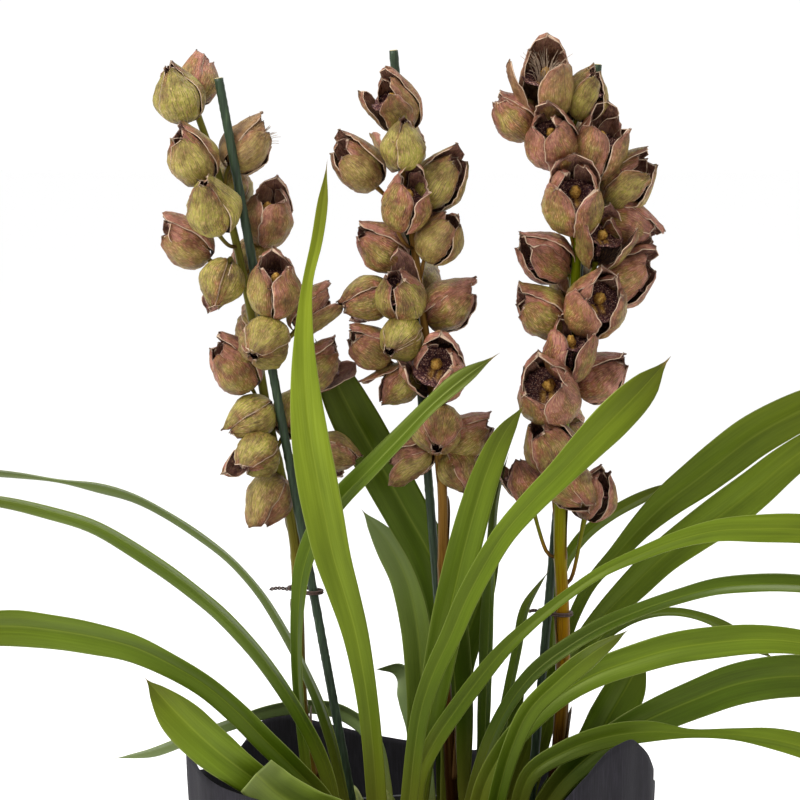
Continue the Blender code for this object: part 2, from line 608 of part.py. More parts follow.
def wire_tie(name, height, tail):
    """A wire loop round a stem and its stake, with the twisted end standing out."""
    fine = smooth_line(SCAPES[name], 400)
    stem = fine[np.argmin(abs(fine[:, 2] - height))]
    post = on_stake(name, height)
    reach = SCAPE_BASE_RADIUS + GAP + WIRE_RADIUS + WIRE_SLACK
    between = (post - stem)[:2]
    start = math.atan2(between[1], between[0])
    loop = []
    for centre, turn in ((post, start - math.pi / 2), (stem, start + math.pi / 2)):
        for step in np.linspace(0, math.pi, 7):
            angle = turn + step
            loop.append((centre[0] + reach * math.cos(angle), centre[1] + reach * math.sin(angle)))
    rings = []
    loop = np.array(loop)
    ahead = np.roll(loop, -1, axis=0) - np.roll(loop, 1, axis=0)
    outward = np.stack([ahead[:, 1], -ahead[:, 0]], axis=1)
    outward /= np.linalg.norm(outward, axis=1)[:, None]
    angle = np.arange(WIRE_SIDES) * 2 * math.pi / WIRE_SIDES
    for point, out in zip(loop, outward):
        flat = point + WIRE_RADIUS * np.cos(angle)[:, None] * out
        rings.append(np.column_stack([flat, height + WIRE_RADIUS * np.sin(angle)]))
    tie = closed_loft(f"wire_tie_{name}", metres(rings), WIRE)
    left = loop[np.argmin(loop[:, 0])]
    tail_line = ((left[0] + 0.4, left[1], height), (left[0] - tail / 2, left[1] - 1, height + 1),
                 (left[0] - tail, left[1], height - 1))
    boolean(tie, tube("tail", smooth_line(tail_line, 4), (WIRE_RADIUS * 1.2,) * 4, WIRE_SIDES, WIRE), "UNION")
    return tie


def clear_scene():
    for thing in list(bpy.data.objects):
        bpy.data.objects.remove(thing)


def main():
    clear_scene()
    paper_wrap()
    nursery_pot()
    bark_mix()
    for number, bulb in enumerate(BULBS, 1):
        pseudobulb(number, *bulb)
    for spec in LEAVES:
        leaf(*spec)
    for name, (top, low) in STAKES.items():
        stake(name, top, low)
    for name, scape in SCAPES.items():
        flower_spike(name, scape, FLOWERS[name])
    for spec in TIES:
        wire_tie(*spec)


main()
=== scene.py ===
"""Finished looks for a potted orchid in a gathered paper wrap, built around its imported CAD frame."""

import math

import bpy
import numpy as np
from bpy.props import FloatProperty, FloatVectorProperty, IntProperty, PointerProperty
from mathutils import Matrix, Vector


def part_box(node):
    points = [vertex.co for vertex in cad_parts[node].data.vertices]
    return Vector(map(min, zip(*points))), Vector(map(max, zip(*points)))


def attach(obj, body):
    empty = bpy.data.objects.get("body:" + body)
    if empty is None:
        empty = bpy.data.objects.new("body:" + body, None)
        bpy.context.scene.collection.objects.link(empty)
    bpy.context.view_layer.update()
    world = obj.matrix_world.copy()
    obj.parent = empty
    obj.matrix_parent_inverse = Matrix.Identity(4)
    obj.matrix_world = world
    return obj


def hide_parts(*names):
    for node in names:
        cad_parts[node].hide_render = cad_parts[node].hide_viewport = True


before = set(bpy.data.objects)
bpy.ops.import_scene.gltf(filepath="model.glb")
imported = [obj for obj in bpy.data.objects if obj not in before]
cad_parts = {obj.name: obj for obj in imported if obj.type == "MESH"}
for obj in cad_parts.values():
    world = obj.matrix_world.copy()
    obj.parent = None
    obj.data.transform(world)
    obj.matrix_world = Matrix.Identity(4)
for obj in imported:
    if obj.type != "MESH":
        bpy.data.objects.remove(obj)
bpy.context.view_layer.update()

bl_info = {
    "name": "Potted Orchid",
    "version": (1, 0, 0),
    "blender": (4, 5, 0),
    "location": "View3D > Sidebar > Orchid",
    "description": "Leaves, flower spikes, sticks, pot and paper wrap of a potted orchid",
    "category": "Add Mesh",
}

MM = 0.001
SPIKES = ("left", "middle", "right")


# ------------------------------------------------------------------------------------ numbers and noise
def linear(hex_colour):
    """An sRGB hex colour as linear RGBA: each channel goes through the sRGB curve."""
    values = [int(hex_colour[i:i + 2], 16) / 255 for i in (1, 3, 5)]
    return [v / 12.92 if v <= 0.04045 else ((v + 0.055) / 1.055) ** 2.4 for v in values] + [1.0]


def unit(vectors):
    """Each vector divided by its length."""
    vectors = np.asarray(vectors, float)
    return vectors / np.maximum(np.linalg.norm(vectors, axis=-1, keepdims=True), 1e-12)


def ease(low, high, values):
    """0 below low, 1 above high, and 3t squared minus 2t cubed between them."""
    share = np.clip((np.asarray(values, float) - low) / (high - low), 0, 1)
    return share * share * (3 - 2 * share)


def waves(values, seed, count=4):
    """A smooth wandering value between about -1 and 1: sines whose rates and phases come from the seed."""
    draw = np.random.default_rng(seed)
    rates = draw.uniform(0.7, 1.3, count) * np.arange(1, count + 1)
    phases = draw.uniform(0, 2 * math.pi, count)
    weights = 1 / np.arange(1, count + 1)
    angle = np.asarray(values, float)[..., None] * rates * 2 * math.pi + phases
    return (np.sin(angle) * weights).sum(-1) / weights.sum()


def distance_along(line):
    """How far along a line each of its points lies: the running sum of the steps between them."""
    return np.concatenate([[0], np.cumsum(np.linalg.norm(np.diff(line, axis=0), axis=1))])


def smooth_line(points, count):
    """A Catmull-Rom curve through the points, sampled at even steps of its own length."""
    points = np.asarray(points, float)
    padded = np.vstack([2 * points[0] - points[1], points, 2 * points[-1] - points[-2]])
    t = np.linspace(0, 1, 24, endpoint=False)[None, :, None]
    before, start, end, after = (padded[k:k + len(points) - 1][:, None] for k in range(4))
    fine = 0.5 * (2 * start + (end - before) * t + (2 * before - 5 * start + 4 * end - after) * t**2
                  + (3 * start - before - 3 * end + after) * t**3)
    fine = np.vstack([fine.reshape(-1, points.shape[1]), points[-1:]])
    length = distance_along(fine[:, :3])
    even = np.linspace(0, length[-1], count)
    return np.stack([np.interp(even, length, fine[:, k]) for k in range(points.shape[1])], axis=1)


def path_axes(line, start_side):
    """Tangent, side and up of each point of a path. The side is carried along without turning about it."""
    tangent = unit(np.gradient(line, axis=0))
    side = np.empty_like(tangent)
    current = np.asarray(start_side, float)
    for k, along in enumerate(tangent):
        current = unit(current - along * (current @ along))
        side[k] = current
    return tangent, side, np.cross(tangent, side)


# ------------------------------------------------------------------------------------ meshes
def loft_faces(rows, loop):
    """Quads between neighbouring closed loops, and strips of quads that close the first and the last loop."""
    row, col = np.meshgrid(np.arange(rows - 1), np.arange(loop), indexing="ij")
    after = (col + 1) % loop
    here, beyond = row * loop, (row + 1) * loop
    wall = np.stack([here + col, here + after, beyond + after, beyond + col], -1)
    k = np.arange(loop // 2 - 1)
    strip = np.stack([k, k + 1, loop - 2 - k, loop - 1 - k], -1)
    last = (rows - 1) * loop
    return np.concatenate([wall.reshape(-1, 4), strip[:, ::-1], strip + last])


def signed_volume(points, faces):
    """Six times the volume inside quads, positive where they face out."""
    a, b, c, d = (points[faces[:, k]] for k in range(4))
    return np.einsum("ij,ij->", a, np.cross(b, c)) + np.einsum("ij,ij->", a, np.cross(c, d))


def chunk(points, uv=None, look=None):
    """One closed lofted body from (rows, loop, n) arrays: its points, faces, UVs and look colours.

    Where nothing else is given, the UVs are x and y and the look is black.
    """
    rows, loop = points.shape[:2]
    uv = points[..., :2] if uv is None else uv
    look = np.zeros((rows, loop, 4)) if look is None else look
    points = points.reshape(-1, 3)
    faces = loft_faces(rows, loop)
    if signed_volume(points - points.mean(0), faces) < 0:
        faces = faces[:, ::-1]
    return points, faces, uv.reshape(-1, 2), look.reshape(-1, 4)


def shell_loop(top, bottom):
    """Two sheets of shape (rows, n, ...) as one closed loop: across the top and back along the bottom."""
    return np.concatenate([top, bottom[:, ::-1]], axis=1)


def ring_points(radius, angle, height):
    """Points about the z axis, each at its radius, angle and height."""
    return np.stack(np.broadcast_arrays(radius * np.cos(angle), radius * np.sin(angle), height), -1)


def piece(name, chunks, skin, replaces):
    starts = np.cumsum([0] + [len(c[0]) for c in chunks[:-1]])
    points = np.concatenate([c[0] for c in chunks])
    faces = np.concatenate([c[1] + start for c, start in zip(chunks, starts)])
    mesh = bpy.data.meshes.new(name)
    mesh.vertices.add(len(points))
    mesh.vertices.foreach_set("co", points.astype(np.float32).ravel())
    mesh.loops.add(faces.size)
    mesh.loops.foreach_set("vertex_index", faces.astype(np.int32).ravel())
    mesh.polygons.add(len(faces))
    mesh.polygons.foreach_set("loop_start", np.arange(0, faces.size, 4, dtype=np.int32))
    mesh.polygons.foreach_set("use_smooth", np.ones(len(faces), bool))
    mesh.update(calc_edges=True)
    uv = np.concatenate([c[2] for c in chunks])[faces.ravel()]
    mesh.uv_layers.new(name="along").data.foreach_set("uv", uv.astype(np.float32).ravel())
    colour = mesh.color_attributes.new("look", "FLOAT_COLOR", "POINT")
    colour.data.foreach_set("color", np.concatenate([c[3] for c in chunks]).astype(np.float32).ravel())
    mesh.validate()
    mesh.materials.append(skin)
    made = bpy.data.objects.new(name, mesh)
    bpy.context.scene.collection.objects.link(made)
    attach(made, "root")
    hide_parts(*replaces)


def tube(line, radii, sides=12, turn=0.0, start_side=(1.0, 0.0, 0.0), look=(0, 0, 0, 0), lobes=None):
    """A tube: circles of the given radii carried along the line. lobes adds to the radius at each point."""
    line = np.asarray(line, float)
    radii = np.broadcast_to(np.asarray(radii, float), (len(line),))
    _, side, up = path_axes(line, start_side)
    angle = turn + np.arange(sides) * 2 * math.pi / sides
    radius = radii[:, None] + (0 if lobes is None else lobes)
    points = (line[:, None] + radius[..., None] * (np.cos(angle)[None, :, None] * side[:, None]
                                                   + np.sin(angle)[None, :, None] * up[:, None]))
    length = distance_along(line)
    around = np.linspace(0, 1, sides) * 2 * math.pi * radii.max()
    uv = np.stack(np.broadcast_arrays(around[None, :], length[:, None]), -1)
    colour = np.empty(points.shape[:2] + (4,))
    colour[:] = look
    colour[..., 1] = np.linspace(0, 1, len(line))[:, None]
    return chunk(points, uv, colour)


# ------------------------------------------------------------------------------------ materials
def add(tree, kind, settings=None, inputs=None):
    """Adds a node, with its settings and with its inputs as values or links."""
    made = tree.nodes.new(kind)
    for key, value in (settings or {}).items():
        setattr(made, key, value)
    for key, value in (inputs or {}).items():
        if isinstance(value, bpy.types.NodeSocket):
            tree.links.new(value, made.inputs[key])
        else:
            made.inputs[key].default_value = value
    return made


def new_material(name, roughness, **sockets):
    """A Principled material with constant sockets, and its tree and shader."""
    made = bpy.data.materials.new(name)
    made.use_nodes = True
    shader = made.node_tree.nodes["Principled BSDF"]
    shader.inputs["Roughness"].default_value = roughness
    for key, value in sockets.items():
        shader.inputs[key.replace("_", " ")].default_value = value
    return made, made.node_tree, shader


def uv_of(tree):
    """A piece's UV: metres across and along it."""
    return add(tree, "ShaderNodeUVMap", {"uv_map": "along"}).outputs["UV"]


def look_of(tree):
    """The red, green, blue and alpha of a piece's look attribute."""
    look = add(tree, "ShaderNodeAttribute", {"attribute_name": "look"})
    parts = add(tree, "ShaderNodeSeparateColor", inputs={"Color": look.outputs["Color"]})
    return (*parts.outputs, look.outputs["Alpha"])


def place_of(tree):
    """Where a point is on its piece, in metres."""
    return add(tree, "ShaderNodeTexCoord").outputs["Object"]


def noise(tree, vector, grain, **inputs):
    """Noise with a grain of the given size in metres: one size, or one for each axis."""
    scale = 1.0
    if isinstance(grain, tuple):
        stretch = (*(1 / size for size in grain), 1.0)[:3]
        vector = add(tree, "ShaderNodeMapping", inputs={"Vector": vector, "Scale": stretch}).outputs["Vector"]
    else:
        scale = 1 / grain
    return add(tree, "ShaderNodeTexNoise", inputs={"Vector": vector, "Scale": scale, **inputs}).outputs["Fac"]


def ramp(tree, value, *stops):
    """The colour or the grey that a value picks from stops of a place and a hex colour or a grey."""
    made = add(tree, "ShaderNodeValToRGB", inputs={"Fac": value})
    elements = made.color_ramp.elements
    while len(elements) < len(stops):
        elements.new(0.5)
    for element, (place, colour) in zip(elements, stops):
        element.position = place
        element.color = linear(colour) if isinstance(colour, str) else (colour,) * 3 + (1.0,)
    return made.outputs["Color"]


def mix(tree, share, first, second, blend="MIX"):
    """The first colour turned into the second, or blended with it, by the share."""
    second = linear(second) if isinstance(second, str) else second
    settings, inputs = {"data_type": "RGBA", "blend_type": blend}, {0: share, 6: first, 7: second}
    return add(tree, "ShaderNodeMix", settings, inputs).outputs[2]


def bump(tree, height, strength, depth, **inputs):
    """The normal of a skin raised by the height, up to the depth in metres."""
    inputs |= {"Height": height, "Strength": strength, "Distance": depth}
    return add(tree, "ShaderNodeBump", inputs=inputs).outputs["Normal"]


def finish_skin(tree, shader, colour, grain, low, high, normal):
    """Gives the shader its colour and normal, and a roughness from low to high that follows the grain."""
    gloss = add(tree, "ShaderNodeMapRange", inputs={"Value": grain, "To Min": low, "To Max": high})
    for socket, value in (("Base Color", colour), ("Roughness", gloss.outputs["Result"]), ("Normal", normal)):
        tree.links.new(value, shader.inputs[socket])


def leaf_material(name):
    """Living strap leaf: waxy skin with fine lengthwise veins, a pale margin and a groove at the midrib."""
    made, tree, shader = new_material(name, 0.4, Specular_IOR_Level=0.5, Specular_Tint=linear("#d2da88"))
    uv, (edge, along, under, tone) = uv_of(tree), look_of(tree)
    # Veins run the length of the blade about 1 mm apart, drawn at 1.2 mm so that they show.
    veins = noise(tree, uv, (0.0012, 0.12), Detail=2.0, Roughness=0.6)
    patches = noise(tree, uv, (0.009, 0.09), Detail=3.0)
    # The tone sets each leaf's brightness, which is partly painted light and shade.
    body = ramp(tree, tone, (0.0, "#2a390a"), (0.35, "#40520a"), (0.7, "#5a6b0e"), (1.0, "#7e881a"))
    light = ramp(tree, tone, (0.0, "#364a10"), (0.35, "#4e6414"), (0.7, "#6c7e1e"), (1.0, "#949e38"))
    colour = mix(tree, ramp(tree, veins, (0.3, 0.0), (0.75, 0.75)), body, light)
    colour = mix(tree, ramp(tree, patches, (0.35, 0.0), (0.7, 0.5)), colour, "#8f9c50", "MULTIPLY")
    # Painted shade: the blade is multiplied darker towards its foot, where the leaves above shade it, and the
    # very tip turns dry brown.
    length = ramp(tree, along, (0.0, "#a8b890"), (0.35, "#c8d0a0"), (0.7, "#ffffff"), (0.86, "#f4ecc8"),
                  (1.0, "#b8a080"))
    colour = mix(tree, 1.0, colour, length, "MULTIPLY")
    # Undersides are mixed towards pale sage: partly their own paler colour, partly painted sheen.
    colour = mix(tree, under, colour, "#78885a")
    colour = mix(tree, ramp(tree, edge, (0.0, 0.22), (0.03, 0.1), (0.06, 0.0)), colour, "#8a9434")
    colour = mix(tree, ramp(tree, edge, (0.95, 0.0), (0.99, 0.4)), colour, "#949c56")
    colour = mix(tree, ramp(tree, along, (0.0, 0.75), (0.1, 0.35), (0.22, 0.0)), colour, "#7c7a2c")
    wobble = add(tree, "ShaderNodeMath", {"operation": "MULTIPLY_ADD"}, {0: patches, 1: 0.02, 2: along})
    colour = mix(tree, ramp(tree, wobble.outputs[0], (0.985, 0.0), (1.0, 0.85)), colour, "#6b5230")
    finish_skin(tree, shader, colour, patches, 0.3, 0.48, bump(tree, veins, 0.35, 0.0003))
    return made


def petal_material(name):
    """Half-dried petal: papery skin, olive to red-brown outside and dusty mauve inside, with dark veins.

    The dry rim is a thin pale line, and the throat goes down to a deep maroon that is painted shade deep in
    the cup.
    """
    made, tree, shader = new_material(name, 0.55, Specular_IOR_Level=0.45)
    uv, (edge, green, inside, dry) = uv_of(tree), look_of(tree)
    # Veins fan along the petal about 0.8 mm apart; finer ones of 0.5 mm lie between them.
    veins = noise(tree, uv, (0.0008, 0.03), Detail=3.0, Roughness=0.7, Distortion=0.5)
    fine_veins = noise(tree, uv, (0.0005, 0.004), Detail=2.0)
    # Crumpling and blotches about 6 to 9 mm across.
    patches = noise(tree, uv, (0.006, 0.009), Detail=5.0, Roughness=0.65)
    uneven = add(tree, "ShaderNodeMath", {"operation": "MULTIPLY_ADD"}, {0: patches, 1: 2.2, 2: -1.12})
    share = add(tree, "ShaderNodeMath", {"use_clamp": True}, {0: uneven.outputs[0], 1: green})
    skin = ramp(tree, share.outputs[0], (0.0, "#a8685a"), (0.18, "#945434"), (0.4, "#886224"),
                (0.65, "#887826"), (1.0, "#9c9436"))
    # On the inside, green holds how far a point is from the stalk towards the mouth.
    face = ramp(tree, patches, (0.3, "#5c2e34"), (0.5, "#a8746a"), (0.75, "#4e262c"))
    # Painted shade: inside the cup the colour goes down to a near-black maroon towards the stalk.
    throat = mix(tree, ramp(tree, green, (0.35, 0.9), (0.9, 0.0)), face, "#260e14")
    colour = mix(tree, inside, skin, throat)
    colour = mix(tree, ramp(tree, veins, (0.5, 0.0), (0.66, 0.75)), colour, "#43231e")
    colour = mix(tree, ramp(tree, fine_veins, (0.5, 0.0), (0.66, 0.65)), colour, "#d0a878")
    colour = mix(tree, dry, colour, "#a37c52")
    # Bruises 10 to 20 mm across darken the skin unevenly.
    bruises = noise(tree, place_of(tree), 0.014, Detail=4.0, Roughness=0.7)
    colour = mix(tree, 1.0, colour, ramp(tree, bruises, (0.32, "#a4886a"), (0.58, "#ffffff")), "MULTIPLY")
    colour = mix(tree, ramp(tree, edge, (0.955, 0.0), (0.98, 0.9)), colour, "#d0b498")
    creases = bump(tree, patches, 1.0, 0.0028)
    finish_skin(tree, shader, colour, veins, 0.38, 0.7, bump(tree, veins, 1.0, 0.0012, Normal=creases))
    return made


def lip_material(name):
    """Orchid lip: maroon velvet with pale speckles, and a crumbly yellow crest."""
    made, tree, shader = new_material(name, 0.7, IOR=1.4)
    place, (crest, *_) = place_of(tree), look_of(tree)
    # Speckles about 0.8 mm across.
    specks = add(tree, "ShaderNodeTexVoronoi", inputs={"Vector": place, "Scale": 1 / 0.0017})
    crumbs = noise(tree, place, 0.0016, Detail=5.0, Roughness=0.7)
    velvet = ramp(tree, crumbs, (0.35, "#220b10"), (0.53, "#4a1e22"), (0.64, "#a07860"))
    speckled = mix(tree, ramp(tree, specks.outputs["Distance"], (0.16, 0.85), (0.3, 0.0)), velvet, "#c4a08c")
    gold = ramp(tree, crumbs, (0.32, "#6a3c14"), (0.5, "#b08030"), (0.72, "#d8b868"))
    colour = mix(tree, crest, speckled, gold)
    finish_skin(tree, shader, colour, crumbs, 0.55, 0.85, bump(tree, crumbs, 0.8, 0.0006))
    return made


def stem_material(name, low, middle, top):
    """Flower stem: smooth waxy skin that changes colour with height, darkest at the foot partly as painted
    shade, with fine lengthwise streaks.
    """
    made, tree, shader = new_material(name, 0.32, Specular_IOR_Level=0.3, Specular_Tint=linear("#e0c468"))
    bract, along, *_ = look_of(tree)
    streaks = noise(tree, uv_of(tree), (0.0014, 0.03), Detail=3.0)
    height = add(tree, "ShaderNodeMath", {"operation": "MULTIPLY_ADD"}, {0: streaks, 1: 0.14, 2: along})
    # Darker low on the stem: partly its own colour, partly painted shade under the leaves.
    colour = ramp(tree, height.outputs[0], (0.2, low), (0.38, middle), (0.56, top))
    colour = mix(tree, bract, colour, "#5c4226")
    colour = mix(tree, ramp(tree, streaks, (0.3, 0.55), (0.5, 0.0)), colour, "#8a6a50", "MULTIPLY")
    finish_skin(tree, shader, colour, streaks, 0.25, 0.5, bump(tree, streaks, 0.3, 0.0004))
    return made


def paper_material(name):
    """Charcoal crepe paper: matt, with upright fibres about 1.5 mm apart pressed into the sheet."""
    made, tree, shader = new_material(name, 0.85, Specular_IOR_Level=0.2)
    uv = uv_of(tree)
    fibres = noise(tree, uv, (0.0015, 0.02), Detail=4.0, Roughness=0.65)
    patches = noise(tree, uv, (0.05, 0.09), Detail=3.0)
    mixed = add(tree, "ShaderNodeMath", {"operation": "MULTIPLY_ADD"}, {0: patches, 1: 0.35, 2: fibres})
    colour = ramp(tree, mixed.outputs[0], (0.45, "#131215"), (0.7, "#1e1c21"), (0.95, "#2d2a31"))
    finish_skin(tree, shader, colour, fibres, 0.78, 0.95, bump(tree, fibres, 0.45, 0.0004))
    return made


def stick_material(name):
    """Plastic-coated support stick: dark blue-green skin with faint scuffs, and a cream core."""
    made, tree, shader = new_material(name, 0.5, Specular_IOR_Level=0.25)
    core, *_ = look_of(tree)
    scuffs = noise(tree, place_of(tree), (0.0015, 0.0015, 0.02), Detail=4.0)
    skin = ramp(tree, scuffs, (0.3, "#1c2619"), (0.6, "#2d3d29"), (0.8, "#465539"))
    colour = mix(tree, core, skin, "#c9b88e")
    finish_skin(tree, shader, colour, scuffs, 0.35, 0.6, bump(tree, scuffs, 0.3, 0.0003))
    return made


def grained_material(name, colours, grain, roughness, depth):
    """A rough natural or moulded skin: noise of the grain's size in metres over three colours, with bump."""
    made, tree, shader = new_material(name, roughness, IOR=1.45)
    grains = noise(tree, place_of(tree), grain, Detail=5.0, Roughness=0.6)
    colour = ramp(tree, grains, *zip((0.3, 0.5, 0.72), colours))
    smooth, rough = roughness - 0.1, min(roughness + 0.12, 1.0)
    finish_skin(tree, shader, colour, grains, smooth, rough, bump(tree, grains, 0.5, depth))
    return made


def material(maker, name, *finish):
    """The material of this name, made by its maker the first time that it is asked for."""
    return bpy.data.materials.get(name) or maker(name, *finish)


# ------------------------------------------------------------------------------------ reading the frame
WELD = 0.02 * MM
# Points in each ring of a leaf's CAD solid: two at either edge and two at the midrib.
LEAF_RING = 6


def welded_mesh(node):
    """A CAD node's points with doubles merged, and its triangles, as arrays. The node isn't changed."""
    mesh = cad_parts[node].data
    points = np.empty(len(mesh.vertices) * 3, np.float32)
    mesh.vertices.foreach_get("co", points)
    mesh.calc_loop_triangles()
    faces = np.empty(len(mesh.loop_triangles) * 3, np.int32)
    mesh.loop_triangles.foreach_get("vertices", faces)
    _, first, index = np.unique(np.round(points.reshape(-1, 3) / WELD).astype(np.int64), axis=0,
                                return_index=True, return_inverse=True)
    return points.reshape(-1, 3)[first].astype(float), index.reshape(-1)[faces].reshape(-1, 3)


def rings_from_tip(points, faces):
    """Groups of points by how many edges they lie from the tip, from the tip back to the base.

    The tip is the point from which every ring of neighbours is a full ring, for the most rings.
    """
    links = np.zeros((len(points), len(points)), bool)
    for a, b in ((0, 1), (1, 2), (2, 0)):
        links[faces[:, a], faces[:, b]] = True
        links[faces[:, b], faces[:, a]] = True
    best = []
    for start in np.flatnonzero(links.sum(0) == LEAF_RING):
        seen = np.zeros(len(points), bool)
        seen[start] = True
        rings = [np.array([start])]
        while (reached := links[rings[-1]].any(0) & ~seen).any():
            seen |= reached
            rings.append(np.flatnonzero(reached))
        if all(len(ring) == LEAF_RING for ring in rings[1:]) and len(rings) > len(best):
            best = rings
    if not best:
        raise RuntimeError("a pointed leaf has no tip")
    return best


def rings_along(points):
    """Rings of points, in order along the longest direction of the points, from the low end up."""
    centred = points - points.mean(0)
    axis = np.linalg.svd(centred, full_matrices=False)[2][0]
    axis = axis if axis[2] > 0 else -axis
    return np.argsort(centred @ axis).reshape(-1, LEAF_RING)


def blade_lines(node):
    """Left edge, midrib, right edge and face direction of a leaf's CAD solid, and whether it has a tip."""
    points, faces = welded_mesh(node)
    if len(points) % LEAF_RING:
        rings = rings_from_tip(points, faces)
        tip = points[rings[0][0]]
        rings = rings[:0:-1]
    else:
        rings = rings_along(points)
        tip = None
    left, middle, right, face = [], [], [], []
    across = np.array((-1.0, 0.0, 0.0))
    for ring in rings:
        corners = points[ring]
        centred = corners - corners.mean(0)
        axis = np.linalg.svd(centred, full_matrices=False)[2][0]
        axis = axis if axis @ across > 0 or not left else -axis
        across = axis
        order = np.argsort(centred @ axis)
        low, mid, high = (corners[order[k:k + 2]].mean(0) for k in (0, 2, 4))
        left.append(low)
        middle.append(mid)
        right.append(high)
        face.append(unit((low + high) / 2 - mid))
    if tip is not None:
        for edge in (left, middle, right):
            edge.append(tip)
        face.append(face[-1])
    return np.array(left), np.array(middle), np.array(right), np.array(face), tip is not None


# ------------------------------------------------------------------------------------ leaves
# How bright each leaf is painted, from 0 for deep green to 1 for yellow-green: partly each leaf's own tone,
# partly painted light and shade, brighter for leaves that stand in the light and darker for those in shade.
LEAF_TONE_AND_LIGHT = {
    "leaf_01": 0.8, "leaf_02": 0.4, "leaf_03": 0.3, "leaf_04": 0.65, "leaf_05": 0.6, "leaf_06": 0.5,
    "leaf_07": 0.2, "leaf_08": 0.6, "leaf_09": 0.6, "leaf_10": 0.6, "leaf_11": 0.35, "leaf_12": 0.55,
    "leaf_13": 0.5, "leaf_14": 0.3, "leaf_15": 0.6, "leaf_16": 0.35, "leaf_17": 0.45, "leaf_18": 0.5,
    "leaf_19": 0.5, "leaf_20": 0.55, "leaf_21": 0.5, "leaf_22": 0.7, "leaf_23": 0.9, "leaf_24": 0.6,
    "leaf_25": 0.3, "leaf_26": 0.2, "leaf_27": 0.3, "leaf_28": 0.5, "leaf_29": 0.5,
}


# Leaves painted paler, for a thin pale side with painted sheen on it and for painted light let through the
# blade: how much at the foot and at the tip.
PALE_LEAVES = {"leaf_24": (0.9, 0.9), "leaf_21": (0.5, 0.8), "leaf_04": (0.0, 0.9), "leaf_22": (0.0, 0.35)}


def blade(node, settings, seed):
    """A strap leaf as a thin closed shell.

    The two edges and the midrib are smooth curves through the CAD blade's. Across the blade a point is the
    midrib plus its share of the way to the nearer edge, with the fold rounded at the midrib, each half
    bowed up a little and the margins waving slowly.
    """
    left, middle, right, face, pointed = blade_lines(node)
    stations = settings.stations
    curves = smooth_line(np.hstack([middle, left, right, face]), stations)
    middle, left, right, face = (curves[:, k:k + 3] for k in (0, 3, 6, 9))
    face = unit(face)
    share = np.linspace(0, 1, stations)
    if pointed:
        point = np.maximum(ease(0.0, 1.0, (1 - share) / 0.06) ** 0.5, 0.02)[:, None]
        left, right = middle + (left - middle) * point, middle + (right - middle) * point
    u = np.linspace(-1, 1, settings.columns)
    rounding = 0.008
    bend = ((np.sqrt(u**2 + rounding) - math.sqrt(rounding))
            / (math.sqrt(1 + rounding) - math.sqrt(rounding)))
    to_edge = np.where(u[None, :, None] < 0, (left - middle)[:, None], (right - middle)[:, None])
    height = np.einsum("rck,rk->rc", to_edge, face)[..., None] * face[:, None]
    flat = to_edge - height
    half = np.linalg.norm(flat, axis=-1)
    ruffle = waves(share * 3.1, seed)[:, None] * 0.05 * u[None] ** 2 * half
    ruffle = ruffle + waves(share * 2.3 + 5, seed + 1)[:, None] * 0.05 * u[None] ** 3 * half
    bow = 0.05 * np.sin(math.pi * np.abs(u))[None] * half
    top = (middle[:, None] + flat * np.abs(u)[None, :, None] + height * bend[None, :, None]
           + face[:, None] * (ruffle + bow)[..., None])
    thick = settings.thickness * np.outer(1 - 0.75 * ease(0.9, 1.0, share), 1 - 0.65 * u**2)
    low = top - face[:, None] * thick[..., None]
    length = distance_along(middle)
    across = half * u[None]
    uv = np.stack(np.broadcast_arrays(across + seed * 0.37, length[:, None] + seed * 0.71), -1)
    # Share along the blade: it paints shade at the foot and a dry brown at the pointed tips.
    foot_shade_and_dry_tip = share * (1.0 if pointed else 0.96)
    pale_foot, pale_tip = PALE_LEAVES.get(node, (0.0, 0.0))
    pale = pale_foot + (pale_tip - pale_foot) * share[:, None] ** 3
    look = np.stack(np.broadcast_arrays(np.abs(u)[None], foot_shade_and_dry_tip[:, None], pale, LEAF_TONE_AND_LIGHT.get(node, 0.5)), -1)
    # Undersides are at least this pale: partly their own colour, partly painted sheen.
    under = look.copy()
    under[..., 2] = np.maximum(look[..., 2], 0.7)
    return chunk(shell_loop(top, low), shell_loop(uv, uv), shell_loop(look, under))


class OrchidLeafSettings(bpy.types.PropertyGroup):
    """Sizes of the leaves."""

    stations: IntProperty(name="Stations", description="Rows of points along each leaf", default=72, min=12)
    columns: IntProperty(name="Columns", description="Points across each leaf", default=15, min=5)
    thickness: FloatProperty(name="Thickness", description="Blade thickness at the midrib",
                             default=0.9 * MM, unit="LENGTH")


class ORCHID_OT_leaves(bpy.types.Operator):
    """Make every strap leaf along its CAD blade"""

    bl_idname = "orchid.leaves"
    bl_label = "Leaves"

    def execute(self, context):
        settings = context.scene.orchid_leaves
        skin = material(leaf_material, "living leaf")
        names = sorted(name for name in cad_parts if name.startswith("leaf_"))
        for seed, node in enumerate(names, 11):
            piece(f"blade_{node[-2:]}", [blade(node, settings, seed)], skin, (node,))
        return {"FINISHED"}


# ------------------------------------------------------------------------------------ flower spikes
# Each stem's course, in millimetres from the low corner of its CAD node's box.
SCAPES = {
    "left": ((129, 59, 2), (105, 58, 84), (100, 57, 185), (96, 57, 235), (79, 58, 315), (65, 59, 401),
             (47, 59, 480), (27, 57, 541)),
    "middle": ((89, 45, 0), (85, 45, 68), (82, 45, 118), (80, 45, 199), (79, 44, 269), (69, 43, 359),
               (59, 43, 439), (49, 44, 529)),
    "right": ((45, 50, 1), (53, 50, 83), (55, 50, 155), (52, 50, 227), (53, 49, 290), (58, 47, 370),
              (63, 47, 440), (59, 47, 500), (49, 47, 540)),
}
